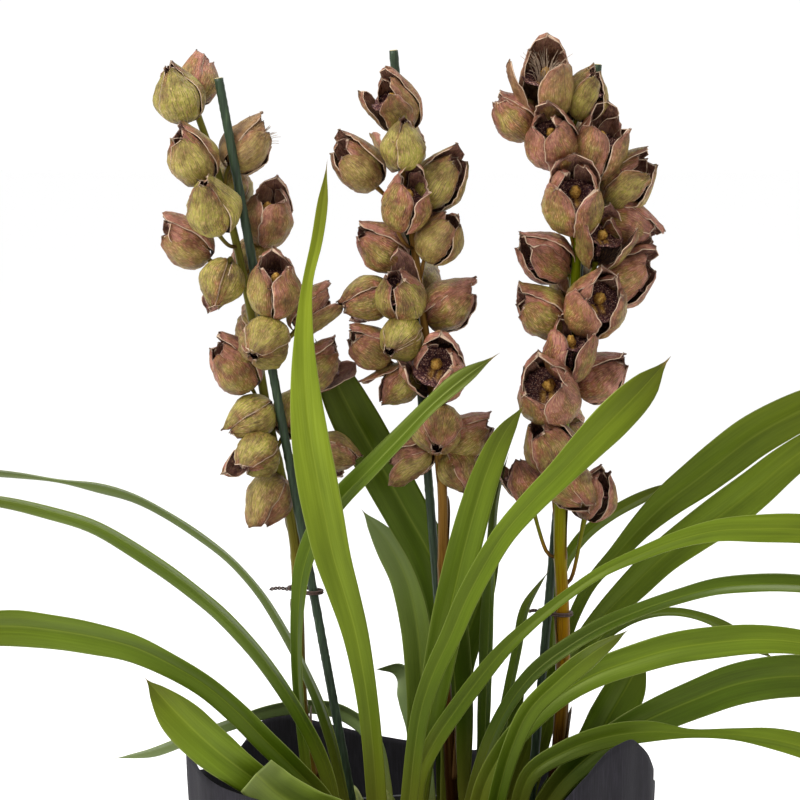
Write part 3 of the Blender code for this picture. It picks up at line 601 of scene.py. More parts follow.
# Low, middle and top colours of each stem: the dark low colours are partly the stems' own red-brown and
# partly painted shade at the foot, under the leaves.
STEM_COLOURS = {
    "left": ("#4e3c10", "#66561a", "#646226"),
    "middle": ("#240f05", "#5a360c", "#745224"),
    "right": ("#260b02", "#7c5602", "#626e04"),
}
# How thick each stem is beside the usual one.
STEM_GIRTHS = {"left": 1.0, "middle": 1.0, "right": 1.22}
# Where a stem has a joint with a bract: the share of its length, and how far round the bract stands.
STEM_JOINTS = ((0.1, 0.3), (0.24, 2.6), (0.39, 0.9), (0.52, 3.0))
# Where a flower's sepals and petals stand, in degrees round its axis, and how far out each lies on the cup.
SEPALS = ((90, 1.05), (210, 1.0), (330, 0.96))
PETALS = ((30, 0.88), (150, 0.88))
# Flowers of each spike: centre x, y, z in millimetres from the same corner, width, the way that the cup
# opens, how open it is, how green and how straw-dry it is, all three from 0 to 1, and how far the lip is
# turned, in degrees.
FLOWERS = {
    "left": (
        (16, 47, 547, 35, (-1, -1, 2), 0.1, 0.9, 0.0, 0),
        (31, 65, 557, 29, (1, 2, 3), 0.5, 0.2, 0.1, 40),
        (26, 37, 503, 35, (-2, -2, 2), 0.4, 0.7, 0.1, 20),
        (65, 61, 509, 33, (3, 1, 1), 0.6, 0.5, 0.6, 0),
        (41, 25, 469, 37, (-1, -3, 2), 0.2, 0.9, 0.0, 60),
        (79, 65, 459, 36, (1, -1, 3), 0.7, 0.3, 0.3, 10),
        (21, 51, 441, 33, (-3, -1, 0), 0.7, 0.2, 0.2, 0),
        (47, 35, 412, 31, (-1, -1, -3), 0.1, 0.8, 0.0, 0),
        (85, 21, 411, 37, (0, -2, 2), 0.7, 0.4, 0.1, 0),
        (111, 63, 391, 31, (3, 1, 1), 0.5, 0.4, 0.2, 0),
        (77, 21, 371, 36, (-1, -3, -1), 0.2, 0.7, 0.1, 30),
        (55, 49, 353, 35, (-2, -1, 1), 0.5, 0.3, 0.1, 0),
        (117, 63, 351, 33, (3, 0, 1), 0.5, 0.3, 0.1, 0),
        (67, 47, 315, 31, (-2, -1, -1), 0.2, 0.8, 0.0, 0),
        (71, 35, 289, 32, (-1, -2, -1), 0.2, 0.7, 0.0, 0),
        (99, 67, 317, 33, (1, 2, 0), 0.4, 0.4, 0.3, 0),
        (79, 55, 255, 33, (-1, -1, -2), 0.4, 0.4, 0.3, 0),
        (127, 65, 287, 29, (3, 1, -1), 0.3, 0.5, 0.2, 0),
        (51, 81, 481, 33, (0, 3, 1), 0.5, 0.6, 0.1, 0),
        (69, 83, 427, 35, (1, 3, 1), 0.5, 0.4, 0.1, 0),
        (71, 83, 377, 33, (-1, 3, 0), 0.4, 0.6, 0.1, 0),
    ),
    "middle": (
        (45, 40, 537, 35, (-2, -2, 2), 0.6, 0.4, 0.3, 0),
        (51, 20, 511, 31, (0, -1, 2), 0.1, 0.8, 0.0, 0),
        (19, 40, 495, 33, (-3, -1, 1), 0.7, 0.5, 0.2, 0),
        (77, 36, 484, 36, (2, -1, 1), 0.4, 0.6, 0.1, 0),
        (53, 20, 469, 35, (1, -2, 2), 0.7, 0.2, 0.0, 0),
        (35, 46, 437, 33, (-3, -1, 0), 0.4, 0.2, 0.0, 0),
        (77, 30, 445, 34, (2, -2, 1), 0.5, 0.6, 0.2, 0),
        (49, 24, 405, 36, (-1, -3, 1), 0.3, 0.4, 0.0, 0),
        (25, 46, 399, 31, (-3, 0, -1), 0.3, 0.3, 0.0, 0),
        (85, 48, 395, 35, (3, 0, 0), 0.4, 0.3, 0.1, 0),
        (49, 24, 372, 31, (-1, -2, -1), 0.1, 0.9, 0.0, 0),
        (27, 44, 365, 29, (-3, -1, 0), 0.5, 0.2, 0.1, 0),
        (75, 26, 349, 41, (0, -3, 0), 0.8, 0.1, 0.1, 0),
        (47, 46, 337, 29, (-2, 0, -2), 0.1, 0.3, 0.0, 0),
        (75, 24, 307, 35, (0, -2, -1), 0.1, 0.5, 0.1, 0),
        (97, 48, 299, 33, (3, 0, 0), 0.3, 0.2, 0.1, 0),
        (57, 50, 285, 31, (-2, 1, -1), 0.3, 0.3, 0.2, 0),
        (91, 42, 275, 29, (1, -1, -2), 0.2, 0.4, 0.1, 0),
        (51, 78, 507, 33, (0, 3, 1), 0.5, 0.5, 0.1, 0),
        (57, 80, 455, 35, (0, 3, 0), 0.5, 0.3, 0.1, 0),
        (65, 80, 405, 33, (1, 3, 0), 0.5, 0.6, 0.1, 0),
        (69, 80, 351, 35, (-1, 3, 0), 0.5, 0.2, 0.1, 0),
    ),
    "right": (
        (39, 41, 552, 42, (0, -2, 2), 0.8, 0.3, 0.6, 0),
        (68, 43, 546, 33, (2, -1, 3), 0.2, 0.8, 0.1, 0),
        (17, 45, 530, 31, (-3, -1, 1), 0.3, 0.2, 0.1, 0),
        (43, 29, 513, 37, (-1, -3, 1), 0.6, 0.2, 0.1, 0),
        (77, 37, 508, 37, (1, -1, 2), 0.9, 0.3, 0.2, 0),
        (58, 25, 470, 42, (0, -3, 1), 0.8, 0.3, 0.1, 0),
        (97, 45, 484, 38, (3, -1, 1), 0.4, 0.6, 0.1, 0),
        (99, 49, 452, 35, (3, 0, -1), 0.3, 0.1, 0.0, 0),
        (79, 31, 442, 36, (1, -2, 2), 0.3, 0.5, 0.0, 0),
        (39, 45, 430, 36, (-3, -1, 0), 0.3, 0.2, 0.0, 0),
        (97, 47, 414, 37, (3, -1, 0), 0.6, 0.2, 0.1, 0),
        (74, 25, 396, 42, (1, -3, 0), 0.8, 0.3, 0.1, 0),
        (37, 43, 391, 34, (-3, -1, 0), 0.5, 0.3, 0.0, 0),
        (57, 27, 364, 37, (0, -1, 2), 0.8, 0.2, 0.0, 0),
        (42, 25, 334, 44, (-1, -3, 0), 0.8, 0.1, 0.1, 0),
        (81, 47, 344, 35, (3, -1, 0), 0.3, 0.1, 0.0, 0),
        (43, 29, 296, 37, (-1, -1, 1), 0.4, 0.4, 0.1, 0),
        (25, 49, 270, 30, (-2, -1, 3), 0.2, 0.2, 0.0, 0),
        (59, 37, 264, 33, (1, -1, -1), 0.3, 0.4, 0.1, 0),
        (77, 53, 258, 33, (2, -1, 3), 0.2, 0.3, 0.1, 0),
        (55, 83, 516, 35, (0, 3, 1), 0.5, 0.4, 0.1, 0),
        (67, 83, 462, 35, (0, 3, 0), 0.5, 0.3, 0.1, 0),
        (63, 83, 410, 35, (0, 3, 0), 0.5, 0.5, 0.1, 0),
        (59, 83, 356, 35, (0, 3, 0), 0.5, 0.2, 0.1, 0),
        (55, 83, 304, 33, (0, 3, -1), 0.4, 0.4, 0.1, 0),
    ),
}


def flower_axes(direction, turn):
    """Side, up and ahead of a flower, with up as near to the sky as it can be, then turned about ahead."""
    ahead = unit(direction)
    side = unit(np.cross(ahead, (0.12, 0.08, 1.0)))
    up = np.cross(side, ahead)
    cos, sin = math.cos(math.radians(turn)), math.sin(math.radians(turn))
    return np.array((side * cos + up * sin, up * cos - side * sin, ahead))


def surface_normals(points):
    """Unit normals of a grid of points: the cross product of its two directions."""
    return unit(np.cross(np.gradient(points, axis=1), np.gradient(points, axis=0)))


def tepal(half, place, openness, spread, layer, settings, seed, green, dry, loose=False):
    """A sepal or a petal as a thin closed shell, one sector of a cup about the flower's axis.

    The cup's outline runs from the stalk out to its widest place and in again to the mouth. Across, a point
    goes round the axis by its share of a half angle: the blade's half width over the radius, where the half
    width is a superellipse of the way along, so that the tip is broad and blunt. One margin stands a little
    outside the circle and the other a little inside, so that neighbours overlap, and slow waves crumple it.
    A loose one leans out from its widest place instead and is narrower.
    """
    rows, columns = settings.petal_rows, settings.petal_columns
    draw = np.random.default_rng(seed)
    lower = -math.sin(place) * openness
    mouth = 0.2 + 0.68 * openness + 0.16 * lower + draw.uniform(-0.08, 0.08)
    tall = 1.0 - 0.5 * lower + draw.uniform(-0.12, 0.12)
    flare = mouth + openness * draw.uniform(-0.2, 0.16) - 0.08
    outline = ((0.05, -1.1), (0.48, -1.02), (0.84, -0.64), (1.0, -0.04), (0.5 + 0.5 * mouth, 0.6 * tall),
               (mouth, tall), (flare, tall + 0.14))
    if loose:
        outline = ((0.05, -1.1), (0.46, -1.0), (0.82, -0.62), (1.02, -0.14), (1.16, 0.3), (1.26, 0.72),
                   (1.3 + draw.uniform(-0.15, 0.15), 1.05))
        spread = 0.62 * spread
    course = smooth_line(outline, rows) * half * layer
    v, u = np.linspace(0, 1, rows)[:, None], np.linspace(-1, 1, columns)[None]
    full = (1 - np.abs(2 * v - 1) ** draw.uniform(2.2, 3.0)) ** 0.5
    sector = np.minimum(spread, spread * full * half * layer / np.maximum(course[:, :1], 1e-4))
    sector = np.minimum(sector, spread * (0.55 + 0.45 * ease(0.0, 0.3, v)))
    skew = 0.1 * draw.uniform(-1, 1) * ease(0.5, 1.0, v)
    azimuth = place + u * np.maximum(sector, 0.03) + skew + 0.07 * waves(v * 1.3, seed + 3)
    boxy = -0.12 * u**2 * ease(0.1, 0.5, v)
    lap = 0.035 * u * ease(0.1, 0.4, v)
    keel = 0.03 * np.exp(-(u / 0.1) ** 2) * np.sin(math.pi * v)
    crumple = (0.06 * waves(v * 2.6 + 0.2 * u, seed) * u**2 + 0.035 * waves(u * 1.7 + v * 0.5, seed + 7, 6)
               + 0.04 * waves(u * 0.6 - v * 2.1, seed + 9, 5) * v
               + 0.02 * waves(u * 3.1 + v * 2.3, seed + 13, 6))
    rolled = draw.uniform(-0.1, 0.16) * u**4 * ease(0.35, 0.95, v)
    radius = course[:, :1] * (1 + boxy + lap) + half * (keel + (crumple + rolled) * ease(0.05, 0.3, v))
    notch = 0.05 * half * waves(u * 2.2 + seed * 0.1, seed + 15, 5) * ease(0.8, 1.0, v)
    rounded = -0.08 * half * u**2 * ease(0.5, 1.0, v)
    along = course[:, 1:] + rounded + 0.02 * half * waves(u * 1.1 + v, seed + 5)
    outer = ring_points(radius, azimuth, along + notch)
    normals, centre = surface_normals(outer), (rows // 2, columns // 2)
    facing_out = np.sign(np.sum((normals[centre] * outer[centre])[:2]))
    inner = outer - normals * facing_out * settings.petal_thickness
    length = distance_along(course)[:, None]
    uv = np.stack(np.broadcast_arrays(u * half * 0.9 * (0.35 + 0.65 * ease(0, 0.4, v)) + seed * 0.113,
                                      length + seed * 0.071), -1)
    rim = np.maximum(np.abs(u) * ease(0.02, 0.2, v), ease(0.9, 1.0, v))
    fade = green + 0.25 - 0.5 * ease(0.35, 1.0, np.abs(u)) - 0.35 * ease(0.6, 1.0, v)
    look = np.stack(np.broadcast_arrays(rim, np.maximum(fade, 0), 0.0, dry), -1)
    lining = np.stack(np.broadcast_arrays(rim, v, 1.0, dry), -1)
    return shell_loop(outer, inner), shell_loop(uv, uv), shell_loop(look, lining)


def lip(half, openness, seed):
    """The withered lip: a ruffled dish that fills the cup below its mouth, with two yellow ridges.

    A point is a share r of the dish's radius out from the axis at an angle; its height rises with the square
    of r and by slow waves round and out, which also push the margin in and out.
    """
    r, angle = np.linspace(0.04, 1, 9)[:, None], np.linspace(0, 2 * math.pi, 33)[None]
    around = np.cos(angle) * 1.7 + np.sin(angle) * 0.6
    across = np.sin(angle) * 1.7 - np.cos(angle) * 0.6
    ruffle = waves(around * r + 0.5, seed, 6) + 0.8 * waves(across * r * 1.6, seed + 1, 6)
    radius = half * r * (0.74 + 0.05 * waves(around * 2.2, seed + 2, 5))
    height = half * (0.02 + 0.2 * openness + 0.2 * r**2 + 0.09 * ruffle * (0.4 + 0.6 * r))
    top = ring_points(radius, angle, height)
    under = top - (0, 0, 0.8 * MM)
    ridge = np.exp(-((np.abs(radius * np.cos(angle)) / half - 0.12) / 0.07) ** 2) * (1 - ease(0.3, 0.7, r))
    look = np.stack(np.broadcast_arrays(ridge * (np.sin(angle) < 0.2), r, 1.0, 1.0), -1)
    uv = top[..., :2]
    return shell_loop(top, under), shell_loop(uv, uv), shell_loop(look, look)


def column(half, openness, seed):
    """The column: a short leaning stub whose crumbly yellow cap is swollen and lumpy."""
    rows, sides = 14, 12
    v = np.linspace(0, 1, rows)
    lean = 0.12 * np.random.default_rng(seed).uniform(-1, 1)
    line = np.stack([half * lean * v, half * (0.06 + 0.3 * v - 0.3 * v**2),
                     half * (-0.6 + (0.95 + 0.3 * openness) * v)], -1)
    cap = ease(0.6, 0.78, v)
    radii = half * (0.11 + 0.07 * cap) * np.sqrt(np.clip((1.02 - v) / 0.16, 0.02, 1))
    around = np.cos(np.arange(sides) * 2 * math.pi / sides * 3 + seed)[None]
    lumps = around * waves(v[:, None] * 3, seed) + 0.8 * waves(around + v[:, None] * 7, seed)
    points, _, uv, look = tube(line, radii, sides, lobes=0.05 * half * lumps * cap[:, None])
    look[:, 0] = ease(0.58, 0.72, look[:, 1])
    return points.reshape(rows, sides, 3), uv.reshape(rows, sides, 2), look.reshape(rows, sides, 4)


def threads(half, count, seed):
    """Dry shreds in a withered flower: thin tubes that rise from the throat and arch over all round."""
    draw = np.random.default_rng(seed)
    shreds = []
    for _ in range(count):
        turn, reach, tall = draw.uniform(0, 2 * math.pi), draw.uniform(0.3, 0.85), draw.uniform(0.7, 1.25)
        out = np.array((math.cos(turn), math.sin(turn)))
        bend = out[::-1] * (1, -1) * draw.uniform(-0.35, 0.35)
        line = smooth_line(((*(out * 0.2), 0.0), (*(out * reach * 0.6 + bend * 0.5), tall * 0.7),
                            (*(out * reach + bend), tall)), 7) * half
        shreds.append(tube(line, np.linspace(0.5, 0.15, 7) * MM, 3, look=(0.99, 0.4, 0, 1)))
    return shreds


def placed(loft, centre, axes):
    """A loft turned from its own axes to a flower's and moved to its place."""
    points, uv, look = loft
    return chunk(centre + points @ axes, uv, look)


def spike_corner(name):
    """The low corner of a spike's CAD box, which the flower places are measured from."""
    return np.array(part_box(f"flower_spike_{name}")[0])


def scape_line(name, count):
    """A spike's stem as a smooth line."""
    return smooth_line(spike_corner(name) + np.array(SCAPES[name], float) * MM, count)


def stalk_line(name, scape, centre, ahead, width):
    """A flower stalk: it leaves the stem upwards and outwards and bends into the flower's back.

    The oldest stalks, low on the spike, leave the stem further down and sag before they turn up.
    """
    back = centre - ahead * width * 0.62
    old = 1 - ease(0.26, 0.31, centre[2] - spike_corner(name)[2])
    leaves_at = back - (0, 0, (14 + 30 * old) * MM)
    joint = scape[np.argmin(np.linalg.norm(scape - leaves_at, axis=1))]
    low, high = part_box(f"stake_{name}")
    share = np.clip((joint[2] - low.z) / (high.z - low.z), 0, 1)
    leans_right = name == "right"
    post_x = low.x + (high.x - low.x) * (share if leans_right else 1 - share)
    post = np.array((post_x, (low.y + high.y) / 2))
    middle = (joint + back) / 2 - (0, 0, (3 + 12 * old) * MM)
    between = joint[:2] + (back - joint)[:2] * np.linspace(0, 1, 9)[:, None]
    clearance = 8 * MM
    if np.linalg.norm(between - post, axis=1).min() < clearance:
        sideways = 1 if back[0] + joint[0] > 2 * post[0] else -1
        middle = np.array((post[0] + sideways * clearance, post[1], middle[2]))
    return smooth_line((joint, middle, back, centre - ahead * width * 0.42), 14)


class OrchidFlowerSettings(bpy.types.PropertyGroup):
    """Sizes of the flowers and their stems."""

    petal_rows: IntProperty(name="Petal rows", description="Rows of points along a petal", default=18, min=6)
    petal_columns: IntProperty(name="Petal columns", description="Points across a petal", default=13, min=5)
    petal_thickness: FloatProperty(name="Petal thickness", description="Thickness of a petal",
                                   default=0.5 * MM, unit="LENGTH")
    loose: FloatProperty(name="Loose sepals", description="Share of the sepals that lean out",
                         default=0.13, min=0, max=1)
    shredded: FloatProperty(name="Shredded", description="Flowers at least this dry hold dry shreds",
                            default=0.3, min=0, max=1)
    shreds: IntProperty(name="Shreds", description="Number of dry shreds in such a flower", default=46, min=0)
    fullness: FloatProperty(name="Fullness", description="Width of a flower over the width of its CAD cup",
                            default=1.09, min=0.5, max=1.3)
    lift: FloatProperty(name="Lift", description="How far the flowers turn up towards the light", default=0.7,
                        min=0, max=2)
    stem_foot: FloatProperty(name="Stem at the foot", description="Radius of a flower stem at the mix",
                             default=4.6 * MM, unit="LENGTH")
    stem_tip: FloatProperty(name="Stem at the tip", description="Radius of a flower stem at its tip",
                            default=2.5 * MM, unit="LENGTH")
    stalk: FloatProperty(name="Stalk", description="Radius of a flower stalk", default=1.5 * MM,
                         unit="LENGTH")


class ORCHID_OT_flower_spikes(bpy.types.Operator):
    """Make the stems, stalks, petals and lips of the three flower spikes"""

    bl_idname = "orchid.flower_spikes"
    bl_label = "Flower spikes"

    def execute(self, context):
        settings = context.scene.orchid_flowers
        for number, name in enumerate(SPIKES):
            self.make_spike(settings, name, number)
        return {"FINISHED"}

    def make_spike(self, settings, name, number):
        """One spike: its flowers, and a stem that tapers, swells at its joints and carries bracts."""
        scape = scape_line(name, 160)
        petals, lips, stems = [], [], []
        for index, flower in enumerate(FLOWERS[name]):
            seed = 1000 * (number + 1) + 13 * index
            self.make_flower(settings, name, scape, flower, seed, petals, lips, stems)
        share = np.linspace(0, 1, len(scape))
        radii = STEM_GIRTHS[name] * (settings.stem_foot + (settings.stem_tip - settings.stem_foot) * share)
        rings = 0.4 * MM * sum(np.exp(-((share - place) / 0.006) ** 2) for place, _ in STEM_JOINTS)
        stems.append(tube(scape, radii + rings, 16))
        for place, turn in STEM_JOINTS:
            stems.append(self.bract(scape, radii, place, turn))
        node = f"flower_spike_{name}"
        piece(f"petals_{name}", petals, material(petal_material, "half-dried petal"), (node,))
        piece(f"lips_{name}", lips, material(lip_material, "orchid lip"), (node,))
        skin = material(stem_material, f"flower stem {name}", *STEM_COLOURS[name])
        piece(f"stem_{name}", stems, skin, (node,))

    def make_flower(self, settings, name, scape, flower, seed, petals, lips, stems):
        """Adds one flower's sepals, petals and shreds, its lip and column, and its stalk to the lists."""
        x, y, z, width, direction, openness, green, dry, turn = flower
        centre, size = spike_corner(name) + np.array((x, y, z)) * MM, width * MM * settings.fullness
        draw = np.random.default_rng(seed)
        lift = settings.lift * (direction[2] >= 0)
        axes = flower_axes(unit(direction) + (0, 0, lift), turn + draw.uniform(-15, 15))
        half = size / 2
        for k, (degrees, layer) in enumerate(SEPALS + PETALS):
            sepal = k < len(SEPALS)
            place = math.radians(degrees) + draw.uniform(-0.12, 0.12)
            spread = draw.uniform(0.98, 1.14) if sepal else draw.uniform(0.72, 0.9)
            hue = green + draw.uniform(-0.15, 0.28) - (0 if sepal else 0.35)
            loose = sepal and draw.uniform() < settings.loose
            shape = tepal(half, place, openness, spread, layer, settings, seed + 11 * k, hue,
                          dry * draw.uniform(0.3, 1.3), loose)
            petals.append(placed(shape, centre, axes))
        lips.append(placed(lip(half, openness, seed), centre, axes))
        lips.append(placed(column(half, openness, seed), centre, axes))
        if dry >= settings.shredded:
            shreds = threads(half, settings.shreds, seed + 5)
            petals.extend((centre + points @ axes, *rest) for points, *rest in shreds)
        line = stalk_line(name, scape, centre, axes[2], size)
        share = np.linspace(0, 1, len(line))
        stems.append(tube(line, settings.stalk * (1 + 0.5 * ease(0.6, 1.0, share)), 8,
                          look=(0.35, 0, 0, 0)))

    def bract(self, scape, radii, place, turn):
        """A papery bract: a part cone that starts tight round the stem and leans away from it to a point."""
        start = int(place * (len(scape) - 1))
        rows = scape[start:start + 16]
        _, side, up = path_axes(rows, (1.0, 0.0, 0.0))
        v = np.linspace(0, 1, len(rows))
        u = np.linspace(-1, 1, 9)
        spread = 1.7 * (1 - v) ** 0.7 + 0.05
        angle = turn + u[None] * spread[:, None]
        radius = radii[start:start + len(rows)] + (0.5 + 2.2 * v**2) * MM
        points = rows[:, None] + radius[:, None, None] * (np.cos(angle)[..., None] * side[:, None]
                                                          + np.sin(angle)[..., None] * up[:, None])
        inner = rows[:, None] + (points - rows[:, None]) * (1 - 0.3 * MM / radius)[:, None, None]
        uv = np.stack(np.broadcast_arrays(u[None] * 0.01, v[:, None] * 0.05), -1)
        look = np.stack(np.broadcast_arrays(0.8 + 0 * angle, place, 0.0, 1.0), -1)
        return chunk(shell_loop(points, inner), shell_loop(uv, uv), shell_loop(look, look))


# ------------------------------------------------------------------------------------ sticks and ties
def stake_ends(name):
    """The two ends of a support stick's axis: the middles of its CAD solid's lower and upper rings."""
    points, _ = welded_mesh(f"stake_{name}")
    order = np.argsort(points[:, 2])
    half = len(points) // 2
    return points[order[:half]].mean(0), points[order[half:]].mean(0)


class OrchidStickSettings(bpy.types.PropertyGroup):
    """Sizes of the support sticks and wire ties."""

    radius: FloatProperty(name="Stick radius", description="Radius of a coated stick", default=3.4 * MM,
                          unit="LENGTH")
    rib: FloatProperty(name="Rib height", description="Height of the moulded ribs on a stick",
                       default=0.25 * MM, unit="LENGTH")
    wire: FloatProperty(name="Wire radius", description="Radius of a wire tie", default=0.8 * MM,
                        unit="LENGTH")


class ORCHID_OT_sticks(bpy.types.Operator):
    """Make the three coated sticks with a cut top"""

    bl_idname = "orchid.sticks"
    bl_label = "Sticks"

    def execute(self, context):
        settings = context.scene.orchid_sticks
        skin = material(stick_material, "coated stick")
        rows = 260
        for number, name in enumerate(SPIKES):
            low, high = stake_ends(name)
            share = np.linspace(0, 1, rows)
            line = low + (high - low) * share[:, None]
            bumps = settings.rib * np.sin(share * rows * 0.9 + 6 * waves(share * 3, number))[:, None] ** 4
            stick = tube(line, settings.radius - settings.rib, 16, lobes=bumps)
            ahead = unit(high - low)
            core_line = np.linspace(high - ahead * 1.5 * MM, high + ahead * 0.4 * MM, 3)
            core = tube(core_line, settings.radius * 0.78, 16, look=(1, 0, 0, 0))
            piece(f"stick_{name}", [stick, core], skin, (f"stake_{name}",))
        return {"FINISHED"}


class ORCHID_OT_ties(bpy.types.Operator):
    """Make the two twisted wire ties round a stem and its stick"""

    bl_idname = "orchid.ties"
    bl_label = "Wire ties"

    def execute(self, context):
        settings = context.scene.orchid_sticks
        wire = material(grained_material, "covered wire", ("#2a1c18", "#3e2a22", "#5a4034"),
                        2 * MM, 0.6, 0.3 * MM)
        for name in ("left", "right"):
            node = f"wire_tie_{name}"
            low, high = (np.array(corner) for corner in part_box(node))
            height = (low[2] + high[2]) / 2
            scape = scape_line(name, 200)
            stem = scape[np.argmin(abs(scape[:, 2] - height))]
            foot, top = stake_ends(name)
            post = foot + (top - foot) * (height - foot[2]) / (top[2] - foot[2])
            reach = (high[1] - low[1] - abs(post[1] - stem[1])) / 2 - settings.wire
            strands = []
            for strand in (0, 1):
                strands.append(tube(self.loop(stem, post, reach, height, strand * settings.wire * 1.9),
                                    settings.wire, 8))
                strands.append(tube(self.tail(stem, post, reach, height, low[0], strand * math.pi),
                                    settings.wire * 0.8, 8))
            piece(f"tie_{name}", strands, wire, (node,))
        return {"FINISHED"}

    def loop(self, stem, post, reach, height, lift):
        """A belt round stem and post: half a turn about each, joined by straight runs, rising a little."""
        start = math.atan2(*(post - stem)[1::-1])
        angle = np.linspace(0, math.pi, 14)
        turns = [centre[:2] + reach * np.stack([np.cos(side + angle), np.sin(side + angle)], -1)
                 for centre, side in ((post, start - math.pi / 2), (stem, start + math.pi / 2))]
        flat = np.vstack(turns)
        rise = height + lift + np.linspace(-0.4, 0.4, len(flat)) * MM
        return np.hstack([flat, rise[:, None]])

    def tail(self, stem, post, reach, height, end, phase):
        """One strand of the twisted tail: a small helix about a nearly straight line."""
        twist, winding = 0.8 * MM, 16
        v = np.linspace(0, 1, 24)
        start = min(stem[0], post[0]) - reach
        middle = stem if stem[0] < post[0] else post
        x = start + (end + MM - start) * v
        return np.stack([x, middle[1] - MM * v + twist * np.cos(phase + v * winding),
                         height + twist * np.sin(phase + v * winding) + MM * np.sin(v * 3)], -1)


# ------------------------------------------------------------------------------------ pot, mix and wrap
class OrchidPotSettings(bpy.types.PropertyGroup):
    """Sizes of the paper wrap, the pot and the growing mix."""

    paper: FloatProperty(name="Paper thickness", description="Thickness of the wrap's sheet",
                         default=0.6 * MM, unit="LENGTH")
    fold: FloatProperty(name="Fold depth", description="How far the wrap's soft folds stand out",
                        default=2.2 * MM, unit="LENGTH")
    chips: IntProperty(name="Bark chips", description="Number of loose chips on the mix", default=420, min=0)
    chip_size: FloatProperty(name="Chip size", description="Half the length of a bark chip", default=8 * MM,
                             unit="LENGTH")


def wrap_rim():
    """Azimuths and heights of the wrap's rim, the radius of the rim, and the radius of the wrap's foot."""
    points, _ = welded_mesh("paper_wrap")
    radius = np.hypot(points[:, 0], points[:, 1])
    azimuth = np.degrees(np.arctan2(points[:, 1], points[:, 0])) % 360
    widest, lowest = radius > radius.max() - 0.5 * MM, points[:, 2] < 0.1 * MM
    order = np.argsort(azimuth[widest])
    return azimuth[widest][order], points[widest][order, 2], radius.max(), radius[lowest].max()


class ORCHID_OT_wrap(bpy.types.Operator):
    """Make the gathered paper wrap as a thin creased shell"""

    bl_idname = "orchid.wrap"
    bl_label = "Paper wrap"

    def execute(self, context):
        settings = context.scene.orchid_pot
        azimuth, rim, top_radius, base_radius = wrap_rim()
        sides, rows = 240, 44
        turn = np.linspace(0, 360, sides, endpoint=False)
        height = smooth_ring(azimuth, rim, turn)
        share = np.linspace(0, 1, rows)[:, None]
        belly = np.interp(share, (0, 0.25, 0.55, 0.8, 1.0), (0, 0.55, 0.85, 0.97, 1.0))
        belly = 0.5 * belly + 0.5 * np.sin(share * math.pi / 2) ** 0.9
        angle = np.radians(turn)[None]
        broad = waves(turn / 360 * 7, 5, 5) * ease(0.05, 0.6, share)
        narrow = waves(turn / 360 * 19 + 0.3 * share, 9, 4) * ease(0.0, 0.3, share) * (1 - 0.5 * share)
        folds = settings.fold * (broad + 0.5 * narrow - 0.5)
        radius = np.minimum(base_radius + (top_radius - base_radius) * belly + folds, top_radius)
        outer = ring_points(radius, angle, share * height)
        inner = ring_points(radius - settings.paper, angle, share * height)
        inner[0, :, 2] = settings.paper
        wall = np.concatenate([outer, inner[::-1]])
        floor_radius = np.linspace(1, 0.02, 10)[:, None, None]
        under = outer[:1] * (1, 1, 0) * floor_radius
        above = inner[:1] * (1, 1, 0) * floor_radius + (0, 0, settings.paper)
        rings = np.concatenate([under[::-1], wall[1:-1], above])
        steps = np.linalg.norm(np.diff(rings, axis=0), axis=-1)
        length = np.concatenate([np.zeros((1, sides)), np.cumsum(steps, 0)])
        uv = np.stack(np.broadcast_arrays(angle * top_radius, length), -1)
        piece("wrap_sheet", [chunk(rings, uv)], material(paper_material, "charcoal crepe paper"),
              ("paper_wrap",))
        return {"FINISHED"}


def smooth_ring(azimuth, values, turn):
    """Values known at some azimuths, joined round the ring by straight runs and then averaged a little."""
    known = np.interp(turn, np.concatenate([azimuth - 360, azimuth, azimuth + 360]), np.tile(values, 3))
    window = np.hanning(9)
    padded = np.concatenate([known[-4:], known, known[:4]])
    return np.convolve(padded, window / window.sum(), "valid")


